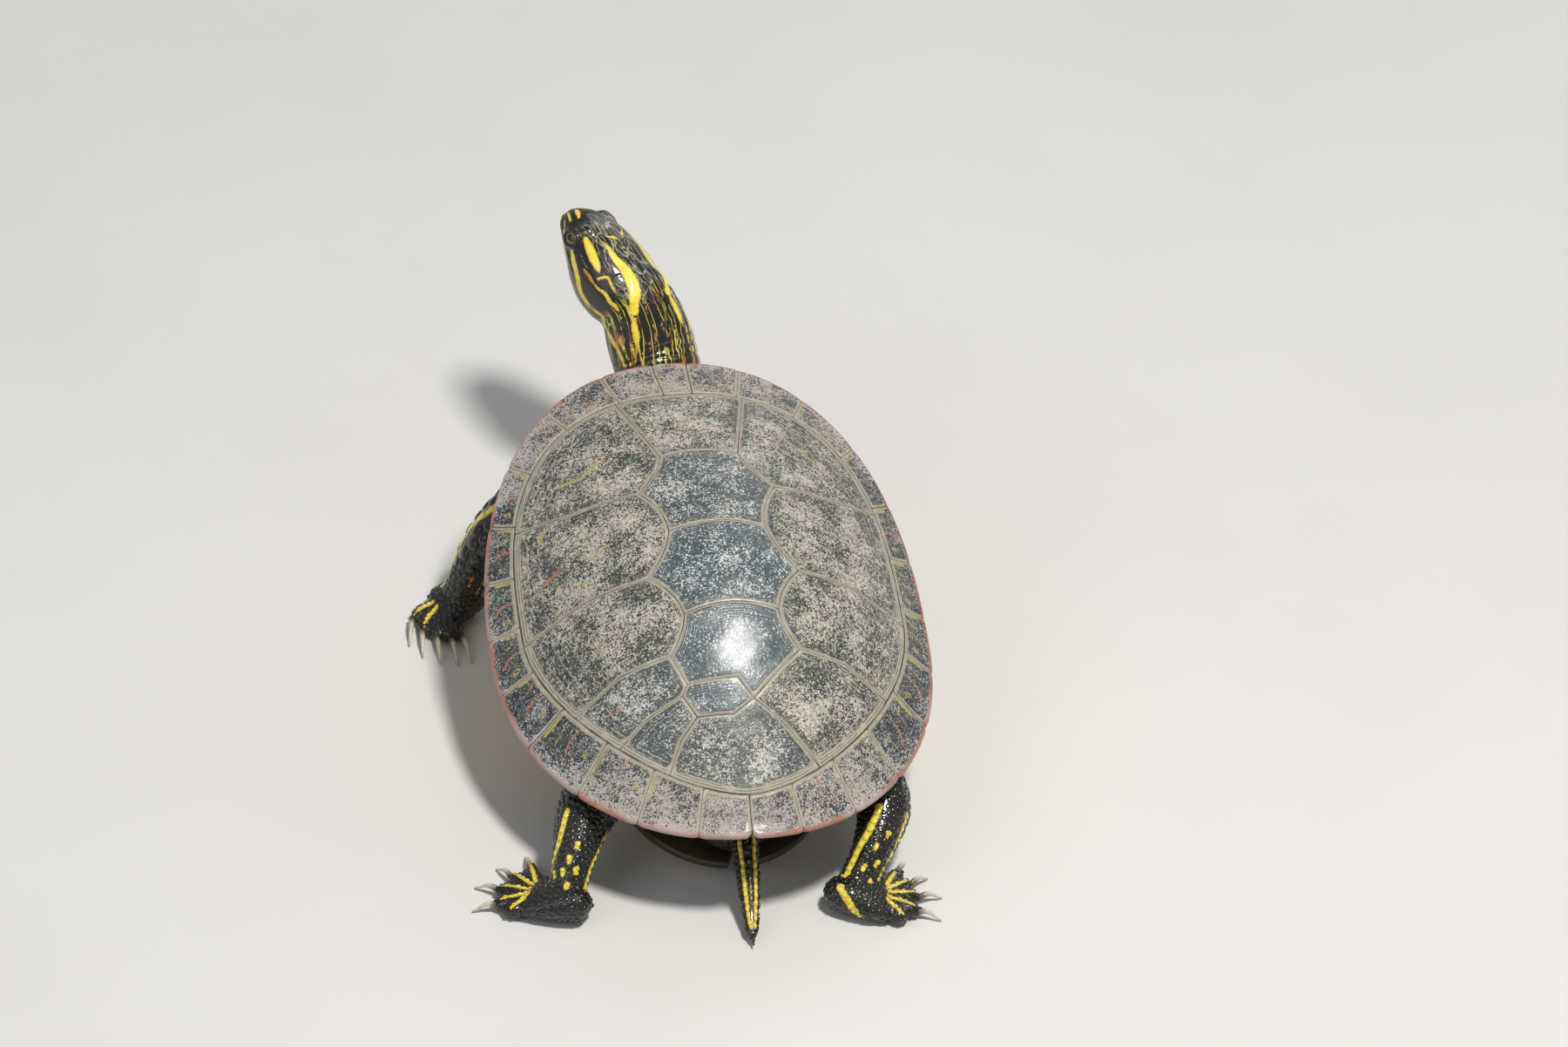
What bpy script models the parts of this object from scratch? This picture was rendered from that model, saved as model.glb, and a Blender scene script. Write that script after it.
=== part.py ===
"""Painted turtle, life size, standing with its front raised and its head lifted and turned to its left.

Run with: blender --background --python part.py

Lengths are written in millimetres and become metres when a mesh is made. +Z is up and +Y is ahead of
the turtle. The shell is drawn in its own frame, where z = 0 is the level of the rim's front and rear,
and then pitched nose up about X. Legs, neck, tail and head are drawn in the standing frame.
"""

import math

import bmesh
import bpy
import numpy as np
from mathutils import Matrix, Vector
from mathutils.geometry import delaunay_2d_cdt

MM = 0.001
GAP = 0.3  # clear space between touching pieces
PLATE_INSET = GAP / 2 + 0.05  # how far a scute stays inside its seams

# Where the pieces stand
STAND_OFFSET = (3.3, -13.5, 0.0)  # puts the origin under the middle of the whole animal
SHELL_LIFT = 43.0  # height of the shell frame's origin
SHELL_PITCH = 12.0  # degrees, nose up

# Carapace
MID_Y = -8.0  # the rim's centre, behind the shell frame's origin
RIM_HALF_WIDTH = 53.3
RIM_FRONT, RIM_FRONT_POWER = 80.0, 2.32
RIM_REAR, RIM_REAR_POWER = 64.0, 2.05
RIM_DIP = 11.0  # how much lower the rim is at the sides than at its ends
RING_HALF_WIDTH = 46.3  # the seam between the marginals and the large scutes
RING_FRONT, RING_FRONT_POWER = 66.4, 2.8
RING_REAR, RING_REAR_POWER = 54.6, 1.7
DOME_HEIGHT = 24.5
DOME_POWER = 1.35
SCUTE_THICKNESS = 2.4
RIM_EDGE_THICKNESS = 1.6
RIM_ROOT_THICKNESS = 3.4
RIM_STEP = 7.0  # degrees between points along the rim
MARGINAL_SEAMS = (3.0, 12.3, 24.6, 37.5, 51.3, 66.3, 83.1, 100.9, 119.3, 138.4, 154.5, 168.4)
RIM_PARTS = {"front": (0, 4), "bridge": (4, 8), "rear": (8, 12)}  # marginals in each part of a side

# Plastron, in the shell frame
PLASTRON_Z = -28.0
PLASTRON_THICKNESS = 3.2
PLASTRON_OVERLAP = 1.2  # what stands on the plastron is drawn this far into it and then cut clear
PLASTRON_FRONT, PLASTRON_REAR = 66.0, -61.0
LOBE_HALF_WIDTH = 30.0
BRIDGE_FRONT, BRIDGE_REAR = 30.0, -25.0
BRIDGE_HALF_WIDTH = 48.5
BRIDGE_RISE = 10.5
BRIDGE_INNER = 29.0
BRIDGE_BLEND = 10.0  # length over which the shell closes at each end of the bridge
BRIDGE_CORNER = 5.0  # length of the rounded corner between bridge and lobe
LOBE_POWER = 3.2
REAR_NOTCH = 4.0
PLASTRON_STATIONS = (
    (65.4, 62.0, 56.0, 48.0, 38.0, 31.0, 28.5, 26.0, 18.0, 9.0, 0.0)
    + (-8.0, -16.0, -21.0, -23.5, -26.0, -34.0, -43.0, -51.0, -57.0, -60.5)
)

# Trunk, the body inside the shell
TRUNK_INSET = 0.7  # from the seam between the marginals and the large scutes
TRUNK_CLEARANCE = GAP + 0.05  # below the scutes
TRUNK_LIFT = 1.5  # below the rim, beside the plastron's lobes
TRUNK_SLOPE_START, TRUNK_SLOPE = 8.0, 14.0  # the flank rises over this stretch, from inside the lobe's edge
TRUNK_STEP = 12  # degrees between points of its outline

# Seams between the large scutes: places where they meet, as (x, y) in the shell frame. Those in
# PAIRED are given for the right side and mirrored for the left.
PAIRED = {
    "v12": (9.5, 31.2),
    "v2": (16.6, 19.0),
    "v23": (11.8, 4.0),
    "v3": (18.3, -8.2),
    "v34": (11.5, -20.6),
    "v4": (15.7, -30.0),
    "c12": (31.5, 20.8),
    "c23": (32.6, -6.9),
    "c34": (27.4, -30.3),
}
SINGLE = {
    "v45_left": (-12.6, -37.4),
    "v45_mid": (-0.5, -37.4),
    "v5_right": (3.0, -42.3),
    "v56_right": (-2.2, -45.5),
    "v56_left": (-10.9, -45.0),
    "c45_left": (-13.9, -39.7),
    "c45_mid": (-22.4, -42.3),
    "v6_left": (-15.2, -49.3),
    "v6_right": (9.9, -47.4),
}
RING_V1, RING_C12, RING_C23, RING_C34, RING_C45, RING_V6 = 13.4, 53.4, 91.0, 125.0, 142.8, 159.0
CROSS_BOW = 0.07  # seams between vertebrals bow forward by this share of their length
SIDE_BOW = 0.08  # seams between vertebrals and costals bow towards the vertebral

# Stretches of the rim, in degrees from +Y, that the neck and the legs stay clear of
RIM_CLEARANCES = {
    "front": (-40.0, 40.0),
    "fore_left": (-89.0, -1.0),
    "fore_right": (1.0, 89.0),
    "hind_left": (-179.0, -91.0),
    "hind_right": (91.0, 179.0),
}

PLATE_SPACING = 8.0
PLASTRON_SPACING = 9.0
SEAM_SPACING = 5.0

# Neck, tail and legs: each row is (x, y, z, half width, half height) along the limb
NECK = (
    (0.0, 38.0, 41.5, 10.8, 9.6),
    (0.2, 56.0, 43.0, 10.3, 9.3),
    (0.3, 69.0, 44.8, 9.8, 8.7),
    (-1.0, 78.0, 50.6, 10.9, 9.1),
    (-3.0, 83.2, 56.9, 11.0, 9.0),
    (-5.9, 86.6, 64.2, 9.9, 8.3),
)
TAIL = (
    (1.2, -42.0, 20.0, 5.0, 5.0),
    (1.3, -54.0, 14.5, 3.7, 3.7),
    (1.2, -64.0, 8.8, 2.9, 2.8),
    (0.8, -73.0, 3.4, 2.1, 2.1),
    (0.2, -80.5, 1.2, 1.1, 1.1),
)
FORELEG = (
    (-19.5, 38.0, 39.0, 8.2, 7.8),
    (-29.0, 49.0, 36.5, 8.0, 7.4),
    (-36.4, 53.6, 29.2, 7.6, 6.8),
    (-44.0, 52.8, 19.8, 7.0, 6.0),
    (-49.2, 50.6, 10.8, 5.6, 4.6),
    (-52.0, 49.0, 5.0, 4.4, 3.8),
)
FORE_PALM = (
    (-45.8, 51.6, 3.2, 3.6, 3.2),
    (-48.8, 50.2, 4.8, 5.6, 4.8),
    (-52.6, 48.6, 4.2, 6.4, 4.2),
    (-56.6, 47.2, 2.9, 6.4, 2.9),
)
FORELEG_RIGHT = (  # planted further under the shell than the left one
    (19.5, 38.0, 39.0, 8.2, 7.8),
    (28.6, 48.6, 36.5, 8.0, 7.4),
    (35.2, 52.6, 29.2, 7.6, 6.8),
    (40.4, 51.8, 19.8, 7.0, 6.0),
    (43.4, 49.8, 10.8, 5.6, 4.6),
    (45.4, 48.4, 5.0, 4.4, 3.8),
)
FORE_PALM_RIGHT = (
    (39.2, 51.0, 3.2, 3.6, 3.2),
    (42.2, 49.6, 4.8, 5.6, 4.8),
    (46.0, 48.0, 4.2, 6.4, 4.2),
    (50.0, 46.6, 2.9, 6.4, 2.9),
)
HINDLEG_LEFT = (
    (-19.0, -32.0, 22.5, 8.6, 8.0),
    (-30.0, -38.5, 19.5, 8.8, 8.0),
    (-36.4, -46.4, 15.6, 7.2, 6.8),
    (-40.0, -55.5, 10.8, 5.3, 5.3),
    (-42.4, -62.8, 4.6, 4.2, 3.9),
)
HIND_PALM_LEFT = (
    (-38.2, -66.9, 3.0, 3.2, 3.0),
    (-41.2, -64.8, 4.6, 5.2, 4.6),
    (-45.8, -61.8, 4.0, 6.8, 4.0),
    (-50.4, -58.8, 2.7, 7.8, 2.7),
)
HINDLEG_RIGHT = (
    (19.0, -32.0, 22.5, 8.6, 8.0),
    (30.5, -38.0, 19.5, 8.8, 8.0),
    (36.2, -46.5, 15.6, 7.2, 6.8),
    (32.8, -56.6, 10.8, 5.3, 5.3),
    (26.6, -64.6, 4.6, 4.2, 3.9),
)
HIND_PALM_RIGHT = (
    (20.6, -65.8, 3.0, 3.2, 3.0),
    (24.0, -66.3, 4.6, 5.2, 4.6),
    (29.2, -67.1, 4.0, 6.8, 4.0),
    (34.6, -67.8, 2.7, 7.8, 2.7),
)
RINGS_PER_ROW = 2
HEAD_SIDES, TAIL_SIDES, LEG_SIDES, TOE_SIDES = 16, 10, 12, 8

# Toes: directions in degrees from +X, lengths from the palm's end, and whether each has a claw
FORE_TOES = ((318.0, 6.0, 1), (281.0, 7.2, 1), (246.0, 7.8, 1), (211.0, 7.8, 1), (172.0, 6.8, 1))
HIND_TOES_LEFT = ((90.0, 9.8, 1), (120.0, 9.0, 1), (151.0, 9.2, 1), (182.0, 8.6, 1), (213.0, 6.4, 0))
HIND_TOES_RIGHT = ((62.0, 9.8, 1), (35.0, 9.2, 1), (8.0, 9.2, 1), (-21.0, 8.6, 1), (-52.0, 6.4, 0))
FORE_TURN = (272.0, 0.45, 0.85)  # the forefeet's toes, and more so their claws, bend towards one heading
TOE_RADIUS = 2.6
TOE_STATIONS = (  # share of its length, share of its radius, height of its middle
    (-0.45, 1.0, 2.5),
    (0.1, 1.0, 2.4),
    (0.62, 0.85, 2.2),
    (1.0, 0.58, 1.6),
)
KNUCKLE_SPREAD = 0.35  # how far across the palm a toe begins: this share of its half width per radian
SOLE_STEP = 0.02  # the soles of neighbouring toes differ by this much, so that they join cleanly
FORE_CLAW, HIND_CLAW = 7.4, 5.0
CLAW_RADIUS, CLAW_TIP_RADIUS = 1.15, 0.28
CLAW_RINGS, CLAW_SIDES = 5, 6
CLAW_ARCH = 0.9  # how high a claw's back arches
CLAW_TIP_HEIGHT = 0.12  # clear space under the claw's tip

# Head: heading, then sections (distance ahead, half width, top, bottom) from the neck joint
HEAD_YAW, HEAD_PITCH, HEAD_ROLL = 35.0, 30.0, 15.6  # degrees to the left, above level, and right side down
HEAD_SECTIONS = (
    (0.0, 9.6, 7.6, -9.4),
    (3.6, 10.3, 7.9, -10.5),
    (8.3, 10.4, 8.0, -10.8),
    (12.9, 9.4, 7.8, -9.9),
    (17.1, 7.9, 7.1, -8.2),
    (20.7, 6.4, 6.0, -6.7),
    (24.0, 4.8, 4.2, -5.3),
    (26.3, 3.2, 2.0, -4.5),
    (27.5, 1.8, 0.4, -3.3),
)
HEAD_LENGTH = HEAD_SECTIONS[-1][0]
HEAD_POWER = 2.3
EYE_AHEAD, EYE_SIDE, EYE_UP, EYE_RADIUS = 20.1, 5.5, 0.4, 2.5
MOUTH_CORNER_AHEAD = 13.8
MOUTH_CORNER_UP, MOUTH_TIP_UP = -3.4, -2.3
MOUTH_ROLL = 0.5  # the mouth line is this much lower at its middle

COLOURS = {  # base colour and roughness
    "carapace": ((0.13, 0.14, 0.12), 0.5),
    "marginals": ((0.17, 0.14, 0.12), 0.5),
    "plastron": ((0.62, 0.42, 0.16), 0.45),
    "skin": ((0.035, 0.035, 0.025), 0.4),
    "eye": ((0.25, 0.2, 0.03), 0.1),
    "claw": ((0.4, 0.36, 0.28), 0.4),
}


def clear_scene():
    for old in list(bpy.data.objects):
        bpy.data.objects.remove(old, do_unlink=True)


def material(name):
    found = bpy.data.materials.get(name)
    if found:
        return found
    colour, roughness = COLOURS[name]
    made = bpy.data.materials.new(name)
    made.use_nodes = True
    shader = made.node_tree.nodes["Principled BSDF"]
    shader.inputs["Base Color"].default_value = (*colour, 1.0)
    shader.inputs["Roughness"].default_value = roughness
    return made


def frame(name, location, rotation=None, parent=None):
    """An empty that carries pieces: location in millimetres, rotation as a 3x3 matrix."""
    empty = bpy.data.objects.new(name, None)
    bpy.context.scene.collection.objects.link(empty)
    empty.location = Vector(location) * MM
    if rotation is not None:
        empty.rotation_euler = rotation.to_euler()
    empty.parent = parent
    return empty


def add_mesh(name, points, faces, colour, parent):
    mesh = bpy.data.meshes.new(name)
    mesh.from_pydata([Vector(p) * MM for p in points], [], faces)
    mesh.validate()
    shaped = bmesh.new()
    shaped.from_mesh(mesh)
    bmesh.ops.recalc_face_normals(shaped, faces=shaped.faces)
    shaped.to_mesh(mesh)
    shaped.free()
    mesh.materials.append(material(colour))
    mesh.shade_smooth()
    mesh.set_sharp_from_angle(angle=math.radians(40))
    made = bpy.data.objects.new(name, mesh)
    bpy.context.scene.collection.objects.link(made)
    made.parent = parent
    return made


def as_cutter(obj):
    obj.hide_render = True
    obj.display_type = "WIRE"
    return obj


def boolean(obj, other, operation):
    modifier = obj.modifiers.new(f"{operation.lower()}_{other.name}", "BOOLEAN")
    modifier.operation = operation
    modifier.solver = "EXACT"
    modifier.object = other
    return modifier


# ---------------------------------------------------------------- the shell's surfaces


def oval_radius(angle, half_width, front, front_power, rear, rear_power):
    """Distance from (0, MID_Y) to the oval, in the direction that is angle from +Y towards +X."""
    across, ahead = abs(math.sin(angle)), math.cos(angle)
    length, power = (front, front_power) if ahead >= 0 else (rear, rear_power)
    return ((abs(ahead) / length) ** power + (across / half_width) ** power) ** (-1 / power)


def rim_radius(angle):
    return oval_radius(angle, RIM_HALF_WIDTH, RIM_FRONT, RIM_FRONT_POWER, RIM_REAR, RIM_REAR_POWER)


def ring_radius(angle):
    return oval_radius(angle, RING_HALF_WIDTH, RING_FRONT, RING_FRONT_POWER, RING_REAR, RING_REAR_POWER)


def polar(x, y):
    return math.atan2(x, y - MID_Y), math.hypot(x, y - MID_Y)


def from_polar(angle, radius):
    return (radius * math.sin(angle), MID_Y + radius * math.cos(angle))


def smooth(value):
    value = min(1.0, max(0.0, value))
    return value * value * (3 - 2 * value)


def dome(x, y):
    """Height of the carapace's outer surface."""
    angle, radius = polar(x, y)
    share = min(1.0, radius / rim_radius(angle))
    rim_level = -RIM_DIP * abs(math.sin(angle)) ** 1.5
    return DOME_HEIGHT * (1 - share * share) ** DOME_POWER + rim_level * share**2.5


def bridge_share(y):
    """1 along the bridge and 0 at the open front and rear of the shell."""
    front = (BRIDGE_FRONT - y) / BRIDGE_BLEND + 0.6
    rear = (y - BRIDGE_REAR) / BRIDGE_BLEND + 0.6
    return smooth(front) * smooth(rear)


def plastron_bottom(x, y):
    rise = smooth((abs(x) - BRIDGE_INNER) / (BRIDGE_HALF_WIDTH - BRIDGE_INNER))
    return PLASTRON_Z + BRIDGE_RISE * rise * bridge_share(y)


def plastron_top(x, y):
    return plastron_bottom(x, y) + PLASTRON_THICKNESS


def marginal_bottom(x, y):
    """Underside of the rim: a thin edge, thick at its root, and down to the plastron at the bridge."""
    angle, radius = polar(x, y)
    inwards = smooth((rim_radius(angle) - radius) / (rim_radius(angle) - ring_radius(angle)))
    free = dome(x, y) - RIM_EDGE_THICKNESS - (RIM_ROOT_THICKNESS - RIM_EDGE_THICKNESS) * inwards
    bridged = plastron_top(x, y) - PLASTRON_OVERLAP
    return free + (min(free, bridged) - free) * inwards**0.5 * bridge_share(y)


def trunk_bottom(x, y):
    """Down to the plastron over its lobes and bridge, and up to the rim's root beside the lobes."""
    deep = plastron_top(x, y) - PLASTRON_OVERLAP
    outwards = smooth((abs(x) - plastron_half_width(y) + TRUNK_SLOPE_START) / TRUNK_SLOPE)
    return deep + (dome(x, y) - RIM_ROOT_THICKNESS - TRUNK_LIFT - deep) * outwards


# ---------------------------------------------------------------- plates over a plan outline


def inset(outline, distance):
    """The closed outline moved inwards, whichever way round it runs."""
    points = [Vector(p) for p in outline]
    count = len(points)
    area = sum(points[i - 1].cross(points[i]) for i in range(count))
    side = 1.0 if area > 0 else -1.0
    moved = []
    for i, here in enumerate(points):
        before = (here - points[i - 1]).normalized()
        after = (points[(i + 1) % count] - here).normalized()
        normal = Vector((-before.y - after.y, before.x + after.x)) * side
        length = max(normal.length, 0.8)
        moved.append(here + normal / length * distance * 2 / length)
    return [(p.x, p.y) for p in moved]


def inside(point, outline):
    x, y = point
    found = False
    for (x1, y1), (x2, y2) in zip(outline, outline[1:] + outline[:1]):
        if (y1 > y) != (y2 > y) and x < (x2 - x1) * (y - y1) / (y2 - y1) + x1:
            found = not found
    return found


def distance_to(point, outline):
    here = np.array(point)
    starts = np.array(outline)
    runs = np.roll(starts, -1, axis=0) - starts
    along = ((here - starts) * runs).sum(1) / np.maximum((runs * runs).sum(1), 1e-12)
    nearest = starts + runs * np.clip(along, 0, 1)[:, None]
    return float(np.hypot(*(here - nearest).T).min())


def plate(name, outline, top, bottom, colour, parent, spacing=PLATE_SPACING, grow=0.0):
    """A closed slab between two height surfaces, over a plan outline, grown all round by grow."""
    low, high = np.min(outline, axis=0), np.max(outline, axis=0)
    grid = []
    for row, y in enumerate(np.arange(low[1] + spacing / 2, high[1], spacing * 0.87)):
        for x in np.arange(low[0] + spacing / 2 * (row % 2), high[0], spacing):
            if inside((x, y), outline) and distance_to((x, y), outline) > spacing * 0.5:
                grid.append((x, y))
    flat = [Vector(p) for p in [*outline, *grid]]
    border = len(outline)
    edges = [(i, (i + 1) % border) for i in range(border)]
    flat, _, faces, *_ = delaunay_2d_cdt(flat, edges, [list(range(border))], 1, 1e-6)
    count = len(flat)
    heights = [(top(p.x, p.y) + grow, bottom(p.x, p.y) - grow) for p in flat]
    if grow:
        flat[:border] = [Vector(p) for p in inset(outline, -grow)]
    points = [(p.x, p.y, high) for p, (high, _) in zip(flat, heights)]
    points += [(p.x, p.y, low) for p, (_, low) in zip(flat, heights)]
    shell = [list(f) for f in faces] + [[i + count for i in reversed(f)] for f in faces]
    used = {}
    for face in faces:
        for a, b in zip(face, face[1:] + face[:1]):
            used[(a, b)] = True
    walls = [(a, b) for a, b in used if (b, a) not in used]
    shell += [[a, a + count, b + count, b] for a, b in walls]
    return add_mesh(name, points, shell, colour, parent)


# ---------------------------------------------------------------- scutes


def junction(name):
    """A place where seams meet: "v2-" is the left one of a pair, and a number is degrees round the ring."""
    if not isinstance(name, str):
        angle = math.radians(name)
        return from_polar(angle, ring_radius(angle))
    if name in SINGLE:
        return SINGLE[name]
    x, y = PAIRED[name[:-1]]
    return (x, y) if name[-1] == "+" else (-x, y)


def bow_of(first, last):
    """How far a seam bows, as a share of its length, and which way."""
    if not (isinstance(first, str) and isinstance(last, str)):
        return 0.0, None
    if first[:-1] == last[:-1] and first[:-1] in PAIRED:
        return CROSS_BOW, Vector((0, 1))
    if first[0] == "v" and last[0] == "v" and first in ("v12+", "v12-", "v23+", "v23-", "v34+", "v34-"):
        return SIDE_BOW, Vector((-1 if first[-1] == "+" else 1, 0))
    return 0.0, None


def seam(first, last):
    """Points along a seam from one junction towards the next, without the last one."""
    if not isinstance(first, str) and not isinstance(last, str):
        steps = max(1, math.ceil(abs(last - first) * math.radians(1) * RING_HALF_WIDTH / SEAM_SPACING))
        return [junction(first + (last - first) * i / steps) for i in range(steps)]
    start, end = Vector(junction(first)), Vector(junction(last))
    bow, towards = bow_of(first, last)
    if towards is None:
        bow, towards = bow_of(last, first)
    steps = max(1, round((end - start).length / SEAM_SPACING))
    made = []
    for i in range(steps):
        share = i / steps
        point = start.lerp(end, share)
        if towards is not None:
            point += towards * bow * (end - start).length * 4 * share * (1 - share)
        made.append((point.x, point.y))
    return made


def outline_of(loop):
    points = []
    for first, last in zip(loop, loop[1:] + loop[:1]):
        points += seam(first, last)
    return points


def mirrored(loop):
    """The same loop on the other side of the shell."""
    swap = {"+": "-", "-": "+"}
    return [-item if not isinstance(item, str) else item[:-1] + swap[item[-1]] for item in loop]


def scute_loops():
    """Each large scute's name and the junctions round it."""
    costal = {
        1: ["v12+", "v2+", "c12+", RING_C12, RING_V1],
        2: ["v2+", "v23+", "v3+", "c23+", RING_C23, RING_C12, "c12+"],
        3: ["v3+", "v34+", "v4+", "c34+", RING_C34, RING_C23, "c23+"],
    }
    loops = {f"costal_right_{n}": loop for n, loop in costal.items()}
    loops.update({f"costal_left_{n}": mirrored(loop) for n, loop in costal.items()})
    loops["costal_right_4"] = ["v4+", "v5_right", "v6_right", RING_V6, RING_C34, "c34+"]
    loops["costal_left_4"] = ["v4-", "v45_left", "c45_left", "c45_mid", -RING_C45, -RING_C34, "c34-"]
    loops["costal_left_5"] = ["c45_left", "v56_left", "v6_left", -RING_V6, -RING_C45, "c45_mid"]
    loops["vertebral_1"] = [-RING_V1, RING_V1, "v12+", "v12-"]
    loops["vertebral_2"] = ["v12-", "v12+", "v2+", "v23+", "v23-", "v2-"]
    loops["vertebral_3"] = ["v23-", "v23+", "v3+", "v34+", "v34-", "v3-"]
    loops["vertebral_4"] = ["v34-", "v34+", "v4+", "v5_right", "v45_mid", "v45_left", "v4-"]
    loops["vertebral_5"] = ["v45_left", "v45_mid", "v5_right", "v56_right", "v56_left", "c45_left"]
    rear_end = ["v6_right", RING_V6, 360 - RING_V6, "v6_left"]
    loops["vertebral_6"] = ["v56_left", "v56_right", "v5_right", *rear_end]
    return loops


def make_scutes(parent):
    for name, loop in scute_loops().items():
        outline = inset(outline_of(loop), PLATE_INSET)
        plate(name, outline, dome, lambda x, y: dome(x, y) - SCUTE_THICKNESS, "carapace", parent)


def rim_outline(start, end):
    """A stretch of the rim between two angles in degrees, from the ring out to the edge."""
    steps = max(2, math.ceil(abs(end - start) / RIM_STEP))
    angles = [math.radians(start + (end - start) * i / steps) for i in range(steps + 1)]
    outer = [from_polar(a, rim_radius(a)) for a in angles]
    inner = [from_polar(a, ring_radius(a)) for a in reversed(angles)]
    return outer + inner


def make_rim(floor_plate, parent):
    seams = [*MARGINAL_SEAMS, 180.0]
    nuchal = inset(rim_outline(-seams[0], seams[0]), PLATE_INSET)
    plate("nuchal", nuchal, dome, marginal_bottom, "marginals", parent)
    for side, sign in (("left", -1), ("right", 1)):
        for part, (first, last) in RIM_PARTS.items():
            outline = inset(rim_outline(sign * seams[first], sign * seams[last]), PLATE_INSET)
            rim = plate(f"marginals_{side}_{part}", outline, dome, marginal_bottom, "marginals", parent)
            boolean(rim, floor_plate, "DIFFERENCE")


def plastron_half_width(y):
    """Half width of the plastron: two rounded lobes joined by the bridge."""
    lobe_end = PLASTRON_FRONT if y > 0 else PLASTRON_REAR
    lobe = LOBE_HALF_WIDTH * (1 - min(1.0, abs(y / lobe_end)) ** LOBE_POWER) ** 0.5
    bridge = smooth((BRIDGE_FRONT - y) / BRIDGE_CORNER) * smooth((y - BRIDGE_REAR) / BRIDGE_CORNER)
    return lobe + (BRIDGE_HALF_WIDTH - lobe) * bridge


def plastron_outline():
    right = [(plastron_half_width(y), y) for y in PLASTRON_STATIONS]
    left = [(-x, y) for x, y in reversed(right)]
    return right + [(0.0, PLASTRON_REAR + REAR_NOTCH)] + left


def make_plastron(parent):
    outline = plastron_outline()
    plate("plastron", outline, plastron_top, plastron_bottom, "plastron", parent, PLASTRON_SPACING)


def trunk_outline():
    angles = [math.radians(a) for a in range(0, 360, TRUNK_STEP)]
    return [from_polar(a, ring_radius(a) - TRUNK_INSET) for a in angles]


def make_trunk(parent):
    def top(x, y):
        return dome(x, y) - SCUTE_THICKNESS - TRUNK_CLEARANCE

    return plate("trunk", trunk_outline(), top, trunk_bottom, "skin", parent, PLASTRON_SPACING)


def shell_cutter(name, outline, top, bottom, parent):
    """A copy of a shell plate grown by the gap, to clear what passes it or stands on it."""
    return as_cutter(plate(name, outline, top, bottom, "skin", parent, PLASTRON_SPACING, GAP))


# ---------------------------------------------------------------- round limbs


def curve_through(rows, end_direction=None, per_row=RINGS_PER_ROW):
    """Stations along a smooth curve through the rows: (centre, direction, half width, half height)."""
    rows = [np.array(row, float) for row in rows]
    before = 2 * rows[0] - rows[1]
    after = 2 * rows[-1] - rows[-2]
    if end_direction is not None:
        step = np.linalg.norm(rows[-1][:3] - rows[-2][:3])
        after = rows[-2].copy()
        after[:3] += 2 * step * np.array(end_direction)
        after[3:] = rows[-1][3:]
    whole = [before, *rows, after]
    stations = []
    for i in range(1, len(whole) - 2):
        p0, p1, p2, p3 = whole[i - 1 : i + 3]
        last = i == len(whole) - 3
        for k in range(per_row + last):
            t = k / per_row
            value = 0.5 * (
                2 * p1
                + (p2 - p0) * t
                + (2 * p0 - 5 * p1 + 4 * p2 - p3) * t * t
                + (3 * p1 - p0 - 3 * p2 + p3) * t**3
            )
            slope = 0.5 * (
                p2 - p0 + 2 * (2 * p0 - 5 * p1 + 4 * p2 - p3) * t + 3 * (3 * p1 - p0 - 3 * p2 + p3) * t * t
            )
            stations.append((Vector(value[:3]), Vector(slope[:3]).normalized(), value[3], value[4]))
    return stations


def ring_points(station, sides, grow=0.0):
    centre, along, half_width, half_height = station
    across = along.cross(Vector((0, 0, 1)))
    if across.length < 0.2:
        across = along.cross(Vector((0, 1, 0)))
    across.normalize()
    upward = across.cross(along)
    made = []
    for i in range(sides):
        turn = 2 * math.pi * i / sides
        out = across * (half_width + grow) * math.cos(turn) + upward * (half_height + grow) * math.sin(turn)
        made.append(centre + out)
    return made


def tube(name, rings, colour, parent, sole=None):
    """A tube through rings of points, with flat ends. Below the level of the sole it is cut flat."""
    sides = len(rings[0])
    points = [Vector(p) for ring in rings for p in ring]
    if sole is not None:
        points = [Vector((p.x, p.y, max(p.z, sole))) for p in points]
    faces = []
    for r in range(len(rings) - 1):
        for i in range(sides):
            j = (i + 1) % sides
            faces.append([r * sides + i, r * sides + j, (r + 1) * sides + j, (r + 1) * sides + i])
    faces.append(list(range(sides))[::-1])
    faces.append([(len(rings) - 1) * sides + i for i in range(sides)])
    return add_mesh(name, points, faces, colour, parent)


def loft(name, stations, sides, colour, parent, grow=0.0, sole=0.0):
    return tube(name, [ring_points(station, sides, grow) for station in stations], colour, parent, sole)


def moved_along(station, distance):
    centre, along, half_width, half_height = station
    return (centre + along * distance, along, half_width, half_height)


def limb_cutter(name, stations, sides, parent):
    """The limb grown by the gap and a little longer at its root, to make its socket in the trunk."""
    longer = [moved_along(stations[0], -GAP), *stations[1:]]
    return as_cutter(loft(f"{name}_socket", longer, sides, "skin", parent, grow=GAP))


def mirror_toes(toes):
    return tuple((180.0 - heading, length, claw) for heading, length, claw in toes)


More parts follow.
